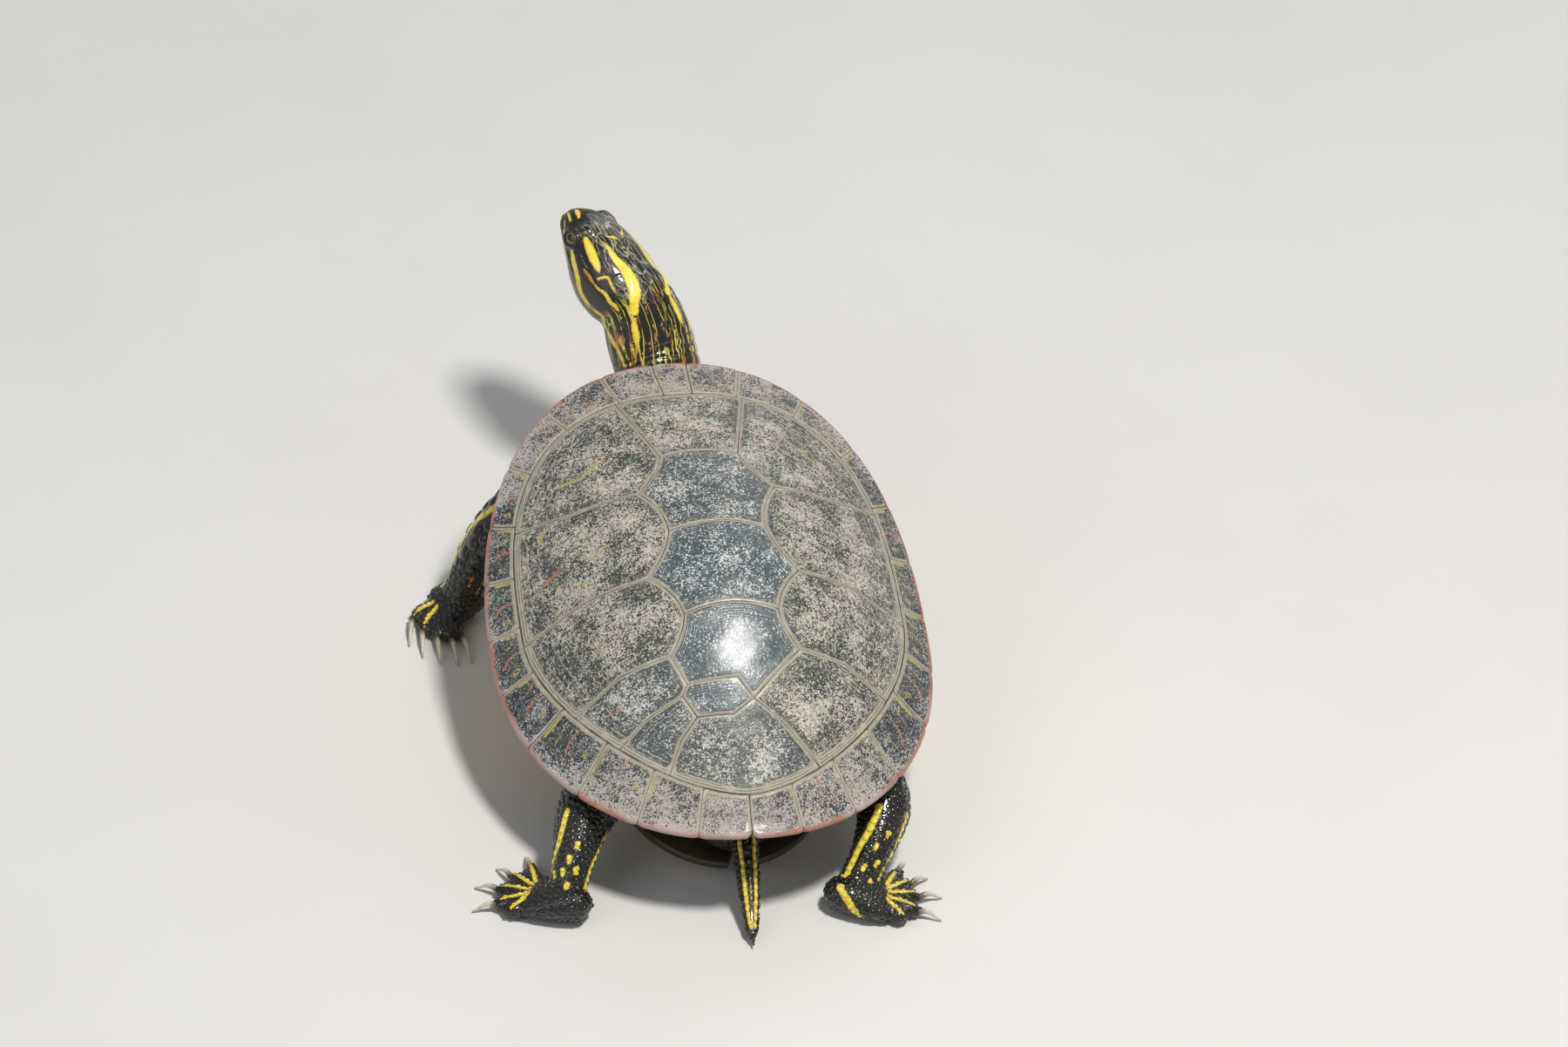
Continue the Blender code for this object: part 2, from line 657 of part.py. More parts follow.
def make_toe(name, palm_end, toe, turn, sole, parent):
    """One toe lying on the floor. Returns it, its tip's place and the directions of tip and claw."""
    heading, length = math.radians(toe[0]), toe[1]
    palm, forward, palm_half_width, _ = palm_end
    palm_heading = math.atan2(forward.y, forward.x)
    fanned = (heading - palm_heading + math.pi) % (2 * math.pi) - math.pi
    knuckle = KNUCKLE_SPREAD * palm_half_width * fanned
    start = palm + Vector((-math.sin(palm_heading), math.cos(palm_heading), 0)) * knuckle
    end, toe_turned, claw_turned = (math.radians(turn[0]), *turn[1:]) if turn else (heading, 0.0, 0.0)
    stations = []
    centre, reached = Vector(start), 0.0
    for share, width, rise in TOE_STATIONS:
        course = heading + (end - heading) * toe_turned * max(0.0, share)
        along = Vector((math.cos(course), math.sin(course), 0))
        centre = centre + along * length * (share - reached)
        reached = share
        centre.z = rise
        stations.append((centre, along, TOE_RADIUS * width, TOE_RADIUS * width))
    course = heading + (end - heading) * claw_turned
    claw_along = Vector((math.cos(course), math.sin(course), 0))
    return loft(name, stations, TOE_SIDES, "skin", parent, sole=sole), centre, along, claw_along


def make_claw(name, tip, along, toe_along, length, parent):
    """A tapering claw that curves down to the floor, just clear of the toe's end."""
    lean = math.sqrt(max(0.0, 1 - along.dot(toe_along) ** 2))
    start_gap = (GAP + 1.2 * CLAW_RADIUS * lean) / max(0.5, along.dot(toe_along))
    stations = []
    for k in range(CLAW_RINGS):
        share = k / (CLAW_RINGS - 1)
        radius = CLAW_RADIUS + (CLAW_TIP_RADIUS - CLAW_RADIUS) * share**1.1
        arch = CLAW_ARCH * math.sin(math.pi * min(1.0, share * 1.25))
        droop = (tip.z - radius - CLAW_TIP_HEIGHT) * share**1.6
        centre = tip + along * (start_gap + length * share)
        centre.z = tip.z + arch - droop
        slope = Vector((along.x, along.y, 0.5 * (0.55 - share)))
        stations.append((centre, along if k == 0 else slope.normalized(), radius * 0.85, radius))
    return loft(name, stations, CLAW_SIDES, "claw", parent)


def make_leg(kind, side, rows, palm_rows, toes, claw, turn, cutters, parent):
    """A leg that ends in a socket over its foot, with the toes joined to the foot and the claws free."""
    stations = curve_through(rows)
    leg = loft(f"{kind}leg_{side}", stations, LEG_SIDES, "skin", parent)
    palm = curve_through(palm_rows)
    foot = loft(f"{kind}foot_{side}", palm, LEG_SIDES, "skin", parent, sole=SOLE_STEP * 6)
    space = loft(f"{kind}foot_{side}_space", palm, LEG_SIDES, "skin", parent, GAP, sole=-1.0)
    for cutter in (*cutters, as_cutter(space)):
        boolean(leg, cutter, "DIFFERENCE")
    for n, toe in enumerate(toes):
        name = f"{kind}toe_{side}_{n + 1}"
        body, tip, along, claw_along = make_toe(name, palm[-1], toe, turn, SOLE_STEP * n, parent)
        boolean(foot, as_cutter(body), "UNION")
        if toe[2]:
            make_claw(f"claw_{kind}_{side}_{n + 1}", tip, claw_along, along, claw, parent)
    return limb_cutter(f"{kind}leg_{side}", stations, LEG_SIDES, parent)


# ---------------------------------------------------------------- head


def head_axes():
    """Right, ahead and up of the head, as the columns of a matrix."""
    turned = Matrix.Rotation(math.radians(HEAD_YAW), 3, "Z")
    raised = Matrix.Rotation(math.radians(HEAD_PITCH), 3, "X")
    rolled = Matrix.Rotation(math.radians(HEAD_ROLL), 3, "Y")
    return turned @ raised @ rolled


def head_ring(section):
    """Points round the head at one section, in the head's own frame."""
    ahead, half_width, top, bottom = section
    middle, half_height = (top + bottom) / 2, (top - bottom) / 2
    made = []
    for i in range(HEAD_SIDES):
        turn = 2 * math.pi * i / HEAD_SIDES
        c, s = math.cos(turn), math.sin(turn)
        x = half_width * math.copysign(abs(c) ** (2 / HEAD_POWER), c)
        z = middle + half_height * math.copysign(abs(s) ** (2 / HEAD_POWER), s)
        made.append(Vector((x, ahead, z)))
    return made


def head_solid(name, parent):
    sections = [(GAP, *HEAD_SECTIONS[0][1:]), *HEAD_SECTIONS[1:]]
    return tube(name, [head_ring(section) for section in sections], "skin", parent)


def neck_rings(grow=0.0):
    """The neck's rings, of which the last is the head's own back end."""
    joint, turned = Vector(NECK[-1][:3]), head_axes()
    rings = [ring_points(station, HEAD_SIDES, grow) for station in curve_through(NECK, turned.col[1])]
    rings[-1] = [joint + turned @ point for point in head_ring(HEAD_SECTIONS[0])]
    return rings


def jaw_zone(name, grow, parent):
    """The space below the mouth line and ahead of its corner."""
    back = MOUTH_CORNER_AHEAD - grow
    front, wide, deep = HEAD_LENGTH + 5, 14.0, -14.0
    slope = (MOUTH_TIP_UP - MOUTH_CORNER_UP) / (HEAD_LENGTH - MOUTH_CORNER_AHEAD)
    points = []
    for ahead in (back, front):
        level = MOUTH_CORNER_UP + slope * (ahead - MOUTH_CORNER_AHEAD) + grow
        points += [(-wide, ahead, deep), (wide, ahead, deep), (wide, ahead, level)]
        points += [(0.0, ahead, level - MOUTH_ROLL), (-wide, ahead, level)]
    sides = [[k, k + 5, (k + 1) % 5 + 5, (k + 1) % 5] for k in range(5)]
    faces = [[0, 1, 2, 3, 4], [9, 8, 7, 6, 5], *sides]
    return as_cutter(add_mesh(name, points, faces, "skin", parent))


def eye_ball(name, side, radius, parent):
    shaped = bmesh.new()
    bmesh.ops.create_icosphere(shaped, subdivisions=2, radius=radius)
    points = [(v.co.x + side * EYE_SIDE, v.co.y + EYE_AHEAD, v.co.z + EYE_UP) for v in shaped.verts]
    faces = [[v.index for v in f.verts] for f in shaped.faces]
    shaped.free()
    return add_mesh(name, points, faces, "eye", parent)


def make_head(parent):
    head = head_solid("head", parent)
    jaw = head_solid("lower_jaw", parent)
    boolean(head, jaw_zone("jaw_space", GAP, parent), "DIFFERENCE")
    boolean(jaw, jaw_zone("jaw_block", 0.0, parent), "INTERSECT")
    for side, sign in (("left", -1), ("right", 1)):
        eye_ball(f"eye_{side}", sign, EYE_RADIUS, parent)
        socket = as_cutter(eye_ball(f"socket_{side}", sign, EYE_RADIUS + GAP, parent))
        boolean(head, socket, "DIFFERENCE")


def build():
    clear_scene()
    turtle = frame("turtle", STAND_OFFSET)
    shell = frame(
        "shell_frame", (0, 0, SHELL_LIFT), Matrix.Rotation(math.radians(SHELL_PITCH), 3, "X"), turtle
    )
    head_frame = frame("head_frame", NECK[-1][:3], head_axes(), turtle)

    make_scutes(shell)
    floor_plate = shell_cutter(
        "plastron_clearance", plastron_outline(), plastron_top, plastron_bottom, shell
    )
    make_rim(floor_plate, shell)
    make_plastron(shell)
    trunk = make_trunk(shell)
    boolean(trunk, floor_plate, "DIFFERENCE")
    rims = {
        place: shell_cutter(f"rim_clearance_{place}", rim_outline(*span), dome, marginal_bottom, shell)
        for place, span in RIM_CLEARANCES.items()
    }

    neck = tube("neck", neck_rings(), "skin", turtle)
    boolean(neck, rims["front"], "DIFFERENCE")
    tail_stations = curve_through(TAIL)
    tail = loft("tail", tail_stations, TAIL_SIDES, "skin", turtle)
    boolean(tail, floor_plate, "DIFFERENCE")
    make_head(head_frame)

    right_turn = (180.0 - FORE_TURN[0], *FORE_TURN[1:])
    fore_right = (FORELEG_RIGHT, FORE_PALM_RIGHT, mirror_toes(FORE_TOES))
    legs = (
        ("fore", "left", (FORELEG, FORE_PALM, FORE_TOES, FORE_CLAW, FORE_TURN)),
        ("fore", "right", (*fore_right, FORE_CLAW, right_turn)),
        ("hind", "left", (HINDLEG_LEFT, HIND_PALM_LEFT, HIND_TOES_LEFT, HIND_CLAW, None)),
        ("hind", "right", (HINDLEG_RIGHT, HIND_PALM_RIGHT, HIND_TOES_RIGHT, HIND_CLAW, None)),
    )
    sockets = [
        as_cutter(tube("neck_socket", neck_rings(GAP), "skin", turtle)),
        limb_cutter("tail", tail_stations, TAIL_SIDES, turtle),
    ]
    for kind, side, shape in legs:
        clearances = (floor_plate, rims[f"{kind}_{side}"])
        sockets.append(make_leg(kind, side, *shape, clearances, turtle))
    for socket in sockets:
        boolean(trunk, socket, "DIFFERENCE")


build()
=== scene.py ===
"""Looks of the painted turtle: shell plates, one skin with its scales, eyes and claws, and the stage.

Lengths are in millimetres until a mesh is made. The shell is drawn in its own frame, which is pitched
nose up and lifted, as in the CAD part. Places on the head and neck are given as (distance ahead of the
neck joint, degrees from the top towards the left); a negative distance is along the neck.
"""

import itertools
import math

import bmesh
import bpy
import numpy as np
from mathutils import Matrix, Vector
from mathutils.bvhtree import BVHTree
from mathutils.geometry import delaunay_2d_cdt
from mathutils.kdtree import KDTree


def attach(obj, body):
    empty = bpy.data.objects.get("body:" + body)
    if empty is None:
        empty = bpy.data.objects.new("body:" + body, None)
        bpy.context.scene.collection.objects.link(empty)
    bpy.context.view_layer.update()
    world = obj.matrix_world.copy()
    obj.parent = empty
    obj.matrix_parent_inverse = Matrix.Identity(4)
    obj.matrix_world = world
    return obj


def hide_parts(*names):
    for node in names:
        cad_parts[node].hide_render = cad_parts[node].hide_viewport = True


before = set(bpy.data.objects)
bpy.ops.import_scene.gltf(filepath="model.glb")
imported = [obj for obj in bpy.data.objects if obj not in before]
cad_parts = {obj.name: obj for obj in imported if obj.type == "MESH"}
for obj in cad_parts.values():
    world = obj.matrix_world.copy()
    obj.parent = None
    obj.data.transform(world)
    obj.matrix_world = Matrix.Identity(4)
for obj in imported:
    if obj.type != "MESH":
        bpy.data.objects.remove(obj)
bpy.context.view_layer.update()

MM = 0.001
STAND_OFFSET = np.array((3.3, -13.5, 0.0))
SHELL_LIFT = 43.0
SHELL_PITCH = math.radians(12.0)

# ---------------------------------------------------------------- sizes of the CAD part

MID_Y = -8.0
RIM = (53.3, 80.0, 2.32, 64.0, 2.05)  # half width, front and its power, rear and its power
RING = (46.3, 66.4, 2.8, 54.6, 1.7)
RIM_DIP = 11.0
DOME_HEIGHT, DOME_POWER = 24.5, 1.35
SCUTE_THICKNESS = 2.4
RIM_EDGE_THICKNESS, RIM_ROOT_THICKNESS = 1.6, 3.4
MARGINAL_SEAMS = (3.0, 12.3, 24.6, 37.5, 51.3, 66.3, 83.1, 100.9, 119.3, 138.4, 154.5, 168.4, 180.0)
RIM_PARTS = {"front": (0, 4), "bridge": (4, 8), "rear": (8, 12)}
PLASTRON_Z, PLASTRON_THICKNESS = -28.0, 3.2
PLASTRON_FRONT, PLASTRON_REAR = 66.0, -61.0
LOBE_HALF_WIDTH, LOBE_POWER = 30.0, 3.2
BRIDGE_FRONT, BRIDGE_REAR, BRIDGE_INNER = 30.0, -25.0, 29.0
BRIDGE_HALF_WIDTH, BRIDGE_RISE = 48.5, 10.5
BRIDGE_BLEND, BRIDGE_CORNER = 10.0, 5.0

PAIRED = {
    "v12": (9.5, 31.2),
    "v2": (16.6, 19.0),
    "v23": (11.8, 4.0),
    "v3": (18.3, -8.2),
    "v34": (11.5, -20.6),
    "v4": (15.7, -30.0),
    "c12": (31.5, 20.8),
    "c23": (32.6, -6.9),
    "c34": (27.4, -30.3),
}
SINGLE = {
    "v45_left": (-12.6, -37.4),
    "v45_mid": (-0.5, -37.4),
    "v5_right": (3.0, -42.3),
    "v56_right": (-2.2, -45.5),
    "v56_left": (-10.9, -45.0),
    "c45_left": (-13.9, -39.7),
    "c45_mid": (-22.4, -42.3),
    "v6_left": (-15.2, -49.3),
    "v6_right": (9.9, -47.4),
}
RING_V1, RING_C12, RING_C23, RING_C34, RING_C45, RING_V6 = 13.4, 53.4, 91.0, 125.0, 142.8, 159.0
CROSS_BOW, SIDE_BOW = 0.07, 0.08

# Rows along a limb: x, y, z, half width, half height
NECK = (
    (0.0, 38.0, 41.5, 10.8, 9.6),
    (0.2, 56.0, 43.0, 10.3, 9.3),
    (0.3, 69.0, 44.8, 9.8, 8.7),
    (-1.0, 78.0, 50.6, 10.9, 9.1),
    (-3.0, 83.2, 56.9, 11.0, 9.0),
    (-5.9, 86.6, 64.2, 9.9, 8.3),
)
TAIL = (
    (1.2, -42.0, 20.0, 5.0, 5.0),
    (1.3, -54.0, 14.5, 3.7, 3.7),
    (1.2, -64.0, 8.8, 2.9, 2.8),
    (0.8, -73.0, 3.4, 2.1, 2.1),
    (0.2, -80.5, 1.2, 1.1, 1.1),
)
FORELEG = (
    (-19.5, 38.0, 39.0, 8.2, 7.8),
    (-29.0, 49.0, 36.5, 8.0, 7.4),
    (-36.4, 53.6, 29.2, 7.6, 6.8),
    (-44.0, 52.8, 19.8, 7.0, 6.0),
    (-49.2, 50.6, 10.8, 5.6, 4.6),
    (-52.0, 49.0, 5.0, 4.4, 3.8),
)
FORELEG_RIGHT = (
    (19.5, 38.0, 39.0, 8.2, 7.8),
    (28.6, 48.6, 36.5, 8.0, 7.4),
    (35.2, 52.6, 29.2, 7.6, 6.8),
    (40.4, 51.8, 19.8, 7.0, 6.0),
    (43.4, 49.8, 10.8, 5.6, 4.6),
    (45.4, 48.4, 5.0, 4.4, 3.8),
)
FORE_PALM = (
    (-45.8, 51.6, 3.2, 3.6, 3.2),
    (-48.8, 50.2, 4.8, 5.6, 4.8),
    (-52.6, 48.6, 4.2, 6.4, 4.2),
    (-56.6, 47.2, 2.9, 6.4, 2.9),
)
FORE_PALM_RIGHT = (
    (39.2, 51.0, 3.2, 3.6, 3.2),
    (42.2, 49.6, 4.8, 5.6, 4.8),
    (46.0, 48.0, 4.2, 6.4, 4.2),
    (50.0, 46.6, 2.9, 6.4, 2.9),
)
HINDLEG_LEFT = (
    (-19.0, -32.0, 22.5, 8.6, 8.0),
    (-30.0, -38.5, 19.5, 8.8, 8.0),
    (-36.4, -46.4, 15.6, 7.2, 6.8),
    (-40.0, -55.5, 10.8, 5.3, 5.3),
    (-42.4, -62.8, 4.6, 4.2, 3.9),
)
HIND_PALM_LEFT = (
    (-38.2, -66.9, 3.0, 3.2, 3.0),
    (-41.2, -64.8, 4.6, 5.2, 4.6),
    (-45.8, -61.8, 4.0, 6.8, 4.0),
    (-50.4, -58.8, 2.7, 7.8, 2.7),
)
HINDLEG_RIGHT = (
    (19.0, -32.0, 22.5, 8.6, 8.0),
    (30.5, -38.0, 19.5, 8.8, 8.0),
    (36.2, -46.5, 15.6, 7.2, 6.8),
    (32.8, -56.6, 10.8, 5.3, 5.3),
    (26.6, -64.6, 4.6, 4.2, 3.9),
)
HIND_PALM_RIGHT = (
    (20.6, -65.8, 3.0, 3.2, 3.0),
    (24.0, -66.3, 4.6, 5.2, 4.6),
    (29.2, -67.1, 4.0, 6.8, 4.0),
    (34.6, -67.8, 2.7, 7.8, 2.7),
)
FORE_TOES = ((318.0, 6.0, 1), (281.0, 7.2, 1), (246.0, 7.8, 1), (211.0, 7.8, 1), (172.0, 6.8, 1))
HIND_TOES_LEFT = ((90.0, 9.8, 1), (120.0, 9.0, 1), (151.0, 9.2, 1), (182.0, 8.6, 1), (213.0, 6.4, 0))
HIND_TOES_RIGHT = ((62.0, 9.8, 1), (35.0, 9.2, 1), (8.0, 9.2, 1), (-21.0, 8.6, 1), (-52.0, 6.4, 0))
FORE_TURN = (272.0, 0.45, 0.85)
TOE_RADIUS = 2.6
TOE_STATIONS = ((-0.45, 1.0, 2.5), (0.1, 1.0, 2.4), (0.62, 0.85, 2.2), (1.0, 0.58, 1.6))
KNUCKLE_SPREAD = 0.35
FORE_CLAW, HIND_CLAW = 7.4, 5.0
CLAW_RADIUS, CLAW_TIP_RADIUS = 1.15, 0.28
CLAW_ARCH, CLAW_TIP_HEIGHT = 0.9, 0.12

HEAD_YAW, HEAD_PITCH, HEAD_ROLL = 35.0, 30.0, 15.6
HEAD_SECTIONS = (  # distance ahead, half width, top, bottom
    (0.0, 9.6, 7.6, -9.4),
    (3.6, 10.3, 7.9, -10.5),
    (8.3, 10.4, 8.0, -10.8),
    (12.9, 9.4, 7.8, -9.9),
    (17.1, 7.9, 7.1, -8.2),
    (20.7, 6.4, 6.0, -6.7),
    (24.0, 4.8, 4.2, -5.3),
    (26.3, 3.2, 2.0, -4.5),
    (27.5, 1.8, 0.4, -3.3),
)
HEAD_POWER = 2.3
EYE_AHEAD, EYE_SIDE, EYE_UP = 20.1, 5.5, 0.4
MOUTH_CORNER_AHEAD, MOUTH_CORNER_UP, MOUTH_TIP_UP, MOUTH_ROLL = 13.8, -3.4, -2.3, 0.5


# ---------------------------------------------------------------- small helpers


def smoothstep(value, low=0.0, high=1.0):
    t = np.clip((np.asarray(value, float) - low) / (high - low), 0, 1)
    return t * t * (3 - 2 * t)


def unit(v):
    v = np.asarray(v, float)
    return v / np.maximum(np.linalg.norm(v, axis=-1, keepdims=True), 1e-9)


def wobble(points, size, seed):
    """Smooth variation between about -1 and 1 over lengths of about size."""
    rng = np.random.default_rng(seed)
    total = np.zeros(len(points))
    for _ in range(7):
        direction = unit(rng.normal(size=points.shape[1]))
        pace = 2 * math.pi / size * rng.uniform(0.7, 1.4)
        total += np.sin(points @ direction * pace + rng.uniform(0, 2 * math.pi))
    return total / 4


def from_shell(points):
    p = np.asarray(points, float)
    c, s = math.cos(SHELL_PITCH), math.sin(SHELL_PITCH)
    y = p[:, 1] * c - p[:, 2] * s
    z = p[:, 1] * s + p[:, 2] * c + SHELL_LIFT
    return np.stack([p[:, 0], y, z], 1)


def to_shell(points):
    p = np.asarray(points, float) - (0, 0, SHELL_LIFT)
    c, s = math.cos(SHELL_PITCH), math.sin(SHELL_PITCH)
    return np.stack([p[:, 0], p[:, 1] * c + p[:, 2] * s, -p[:, 1] * s + p[:, 2] * c], 1)


def make_object(name, points, faces, material, **attributes):
    """A smooth-shaded mesh from points in the standing frame, with values at its points."""
    mesh = bpy.data.meshes.new(name)
    mesh.from_pydata((np.asarray(points, float) + STAND_OFFSET) * MM, [], faces)
    mesh.update()
    for key, values in attributes.items():
        set_values(mesh, key, values)
    mesh.shade_smooth()
    made = bpy.data.objects.new(name, mesh)
    bpy.context.scene.collection.objects.link(made)
    if material is not None:
        mesh.materials.append(material)
    return made


def set_values(mesh, name, values):
    values = np.asarray(values, np.float32)
    wide = values.ndim == 2
    layer = mesh.attributes.new(name, "FLOAT_VECTOR" if wide else "FLOAT", "POINT")
    layer.data.foreach_set("vector" if wide else "value", values.ravel())


def points_of(mesh):
    co = np.empty(len(mesh.vertices) * 3)
    mesh.vertices.foreach_get("co", co)
    return co.reshape(-1, 3) / MM - STAND_OFFSET


def put_points(mesh, points):
    mesh.vertices.foreach_set("co", ((points + STAND_OFFSET) * MM).astype(np.float32).ravel())
    mesh.update()


def declare(obj, slot, *nodes):
    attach(obj, "root")
    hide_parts(*nodes)
    return obj


# ---------------------------------------------------------------- the shell's surfaces


def oval_radius(angle, half_width, front, front_power, rear, rear_power):
    across, ahead = np.abs(np.sin(angle)), np.cos(angle)
    length = np.where(ahead >= 0, front, rear)
    power = np.where(ahead >= 0, front_power, rear_power)
    return ((np.abs(ahead) / length) ** power + (across / half_width) ** power) ** (-1 / power)


def polar(x, y):
    return np.arctan2(x, y - MID_Y), np.hypot(x, y - MID_Y)


def on_oval(angle, radius):
    return np.stack([radius * np.sin(angle), MID_Y + radius * np.cos(angle)], -1)


def dome(x, y):
    angle, radius = polar(x, y)
    share = np.minimum(1.0, radius / oval_radius(angle, *RIM))
    rim_level = -RIM_DIP * np.abs(np.sin(angle)) ** 1.5
    return DOME_HEIGHT * (1 - share * share) ** DOME_POWER + rim_level * share**2.5


def bridge_share(y):
    front = smoothstep((BRIDGE_FRONT - y) / BRIDGE_BLEND + 0.6)
    return front * smoothstep((y - BRIDGE_REAR) / BRIDGE_BLEND + 0.6)


def plastron_half_width(y):
    y = np.asarray(y, float)
    lobe_end = np.where(y > 0, PLASTRON_FRONT, PLASTRON_REAR)
    lobe = LOBE_HALF_WIDTH * (1 - np.minimum(1.0, np.abs(y / lobe_end)) ** LOBE_POWER) ** 0.5
    bridge = smoothstep((BRIDGE_FRONT - y) / BRIDGE_CORNER) * smoothstep((y - BRIDGE_REAR) / BRIDGE_CORNER)
    return lobe + (BRIDGE_HALF_WIDTH - lobe) * bridge


def plastron_bottom(x, y):
    rise = smoothstep((np.abs(x) - BRIDGE_INNER) / (BRIDGE_HALF_WIDTH - BRIDGE_INNER))
    return PLASTRON_Z + BRIDGE_RISE * rise * bridge_share(y)


def plastron_top(x, y):
    return plastron_bottom(x, y) + PLASTRON_THICKNESS


BESIDE_PLASTRON, ABOVE_PLASTRON = 0.4, 0.35  # how far the marginals keep off it


def over_plastron(x, y):
    return np.abs(x) < plastron_half_width(y) + BESIDE_PLASTRON


def marginal_bottom(x, y):
    angle, radius = polar(x, y)
    rim, ring = oval_radius(angle, *RIM), oval_radius(angle, *RING)
    inwards = smoothstep((rim - radius) / (rim - ring))
    free = dome(x, y) - RIM_EDGE_THICKNESS - (RIM_ROOT_THICKNESS - RIM_EDGE_THICKNESS) * inwards
    lowest = plastron_top(x, y) + ABOVE_PLASTRON
    low = free + (np.minimum(free, lowest) - free) * inwards**0.5 * bridge_share(y)
    return np.where(over_plastron(x, y), np.maximum(low, lowest), low)


# ---------------------------------------------------------------- plates over a plan outline


def junction(name):
    if not isinstance(name, str):
        angle = math.radians(name)
        return tuple(on_oval(angle, oval_radius(angle, *RING)))
    if name in SINGLE:
        return SINGLE[name]
    x, y = PAIRED[name[:-1]]
    return (x, y) if name[-1] == "+" else (-x, y)


def bow_of(first, last):
    if not (isinstance(first, str) and isinstance(last, str)):
        return 0.0, None
    if first[:-1] == last[:-1] and first[:-1] in PAIRED:
        return CROSS_BOW, np.array((0, 1))
    if first[0] == "v" and last[0] == "v" and first in ("v12+", "v12-", "v23+", "v23-", "v34+", "v34-"):
        return SIDE_BOW, np.array((-1 if first[-1] == "+" else 1, 0))
    return 0.0, None


def seam(first, last, step):
    if not isinstance(first, str) and not isinstance(last, str):
        steps = max(1, math.ceil(abs(last - first) * math.radians(RING[0]) / step))
        return [junction(first + (last - first) * i / steps) for i in range(steps)]
    start, end = np.array(junction(first)), np.array(junction(last))
    bow, towards = bow_of(first, last)
    if towards is None:
        bow, towards = bow_of(last, first)
    length = float(np.linalg.norm(end - start))
    steps = max(1, round(length / step))
    made = []
    for i in range(steps):
        share = i / steps
        point = start + (end - start) * share
        if towards is not None:
            point = point + towards * bow * length * 4 * share * (1 - share)
        made.append(tuple(point))
    return made


def outline_of(loop, step):
    points = []
    for first, last in zip(loop, loop[1:] + loop[:1]):
        points += seam(first, last, step)
    return np.array(points)


def mirrored(loop):
    swap = {"+": "-", "-": "+"}
    return [-item if not isinstance(item, str) else item[:-1] + swap[item[-1]] for item in loop]


def scute_loops():
    costal = {
        1: ["v12+", "v2+", "c12+", RING_C12, RING_V1],
        2: ["v2+", "v23+", "v3+", "c23+", RING_C23, RING_C12, "c12+"],
        3: ["v3+", "v34+", "v4+", "c34+", RING_C34, RING_C23, "c23+"],
    }
    loops = {f"costal_right_{n}": loop for n, loop in costal.items()}
    loops.update({f"costal_left_{n}": mirrored(loop) for n, loop in costal.items()})
    loops["costal_right_4"] = ["v4+", "v5_right", "v6_right", RING_V6, RING_C34, "c34+"]
    loops["costal_left_4"] = ["v4-", "v45_left", "c45_left", "c45_mid", -RING_C45, -RING_C34, "c34-"]
    loops["costal_left_5"] = ["c45_left", "v56_left", "v6_left", -RING_V6, -RING_C45, "c45_mid"]
    loops["vertebral_1"] = [-RING_V1, RING_V1, "v12+", "v12-"]
    loops["vertebral_2"] = ["v12-", "v12+", "v2+", "v23+", "v23-", "v2-"]
    loops["vertebral_3"] = ["v23-", "v23+", "v3+", "v34+", "v34-", "v3-"]
    loops["vertebral_4"] = ["v34-", "v34+", "v4+", "v5_right", "v45_mid", "v45_left", "v4-"]
    loops["vertebral_5"] = ["v45_left", "v45_mid", "v5_right", "v56_right", "v56_left", "c45_left"]
    rear_end = ["v6_right", RING_V6, 360 - RING_V6, "v6_left"]
    loops["vertebral_6"] = ["v56_left", "v56_right", "v5_right", *rear_end]
    return loops


def turned_way(outline):
    """1 if the outline runs anticlockwise, or -1."""
    x, y = outline[:, 0], outline[:, 1]
    return 1.0 if (np.roll(x, 1) * y - x * np.roll(y, 1)).sum() > 0 else -1.0


def inset(outline, distance):
    before = unit(outline - np.roll(outline, 1, axis=0))
    after = unit(np.roll(outline, -1, axis=0) - outline)
    both = before + after
    normal = np.stack([-both[:, 1], both[:, 0]], 1) * turned_way(outline)
    length = np.maximum(np.linalg.norm(normal, axis=1, keepdims=True), 0.8)
    return outline + normal / length * distance * 2 / length


def edge_distances(points, outline):
    """Distance from each point to each edge of the closed outline."""
    starts = outline
    runs = np.roll(outline, -1, axis=0) - starts
    long2 = np.maximum((runs * runs).sum(1), 1e-12)
    rel = points[:, None, :] - starts[None]
    along = np.clip((rel * runs[None]).sum(2) / long2, 0, 1)
    return np.linalg.norm(rel - runs[None] * along[..., None], axis=2)


def inside(points, outline):
    x, y = points[:, :1], points[:, 1:]
    x1, y1 = outline[:, 0], outline[:, 1]
    x2, y2 = np.roll(x1, -1), np.roll(y1, -1)
    rise = np.where(np.abs(y2 - y1) < 1e-12, 1e-12, y2 - y1)
    crossing = ((y1 > y) != (y2 > y)) & (x < (x2 - x1) * (y - y1) / rise + x1)
    return crossing.sum(1) % 2 == 1


# Shares of the spacing: from row to row, from the border to the grid, and to the points just inside it
ROW_SHARE, GRID_SHARE, LIP_SHARE = 0.87, 0.9, 0.45


def fill(outline, spacing):
    """Fine points and triangles that fill the outline, the border's own points first."""
    low, high = outline.min(0), outline.max(0)
    rows = np.arange(low[1] + spacing / 2, high[1], spacing * ROW_SHARE)
    grid = [
        np.stack(np.broadcast_arrays(np.arange(low[0] + spacing / 2 * (r % 2), high[0], spacing), y), 1)
        for r, y in enumerate(rows)
    ]
    grid = np.concatenate(grid)
    grid = grid[inside(grid, outline)]
    grid = grid[edge_distances(grid, outline).min(1) > spacing * GRID_SHARE]
    lip = inset(outline, spacing * LIP_SHARE)
    flat = [Vector(p) for p in np.concatenate([outline, lip, grid])]
    border = len(outline)
    edges = [(i, (i + 1) % border) for i in range(border)]
    flat, _, faces, *_ = delaunay_2d_cdt(flat, edges, [list(range(border))], 1, 1e-7)
    return np.array([p[:] for p in flat]), faces


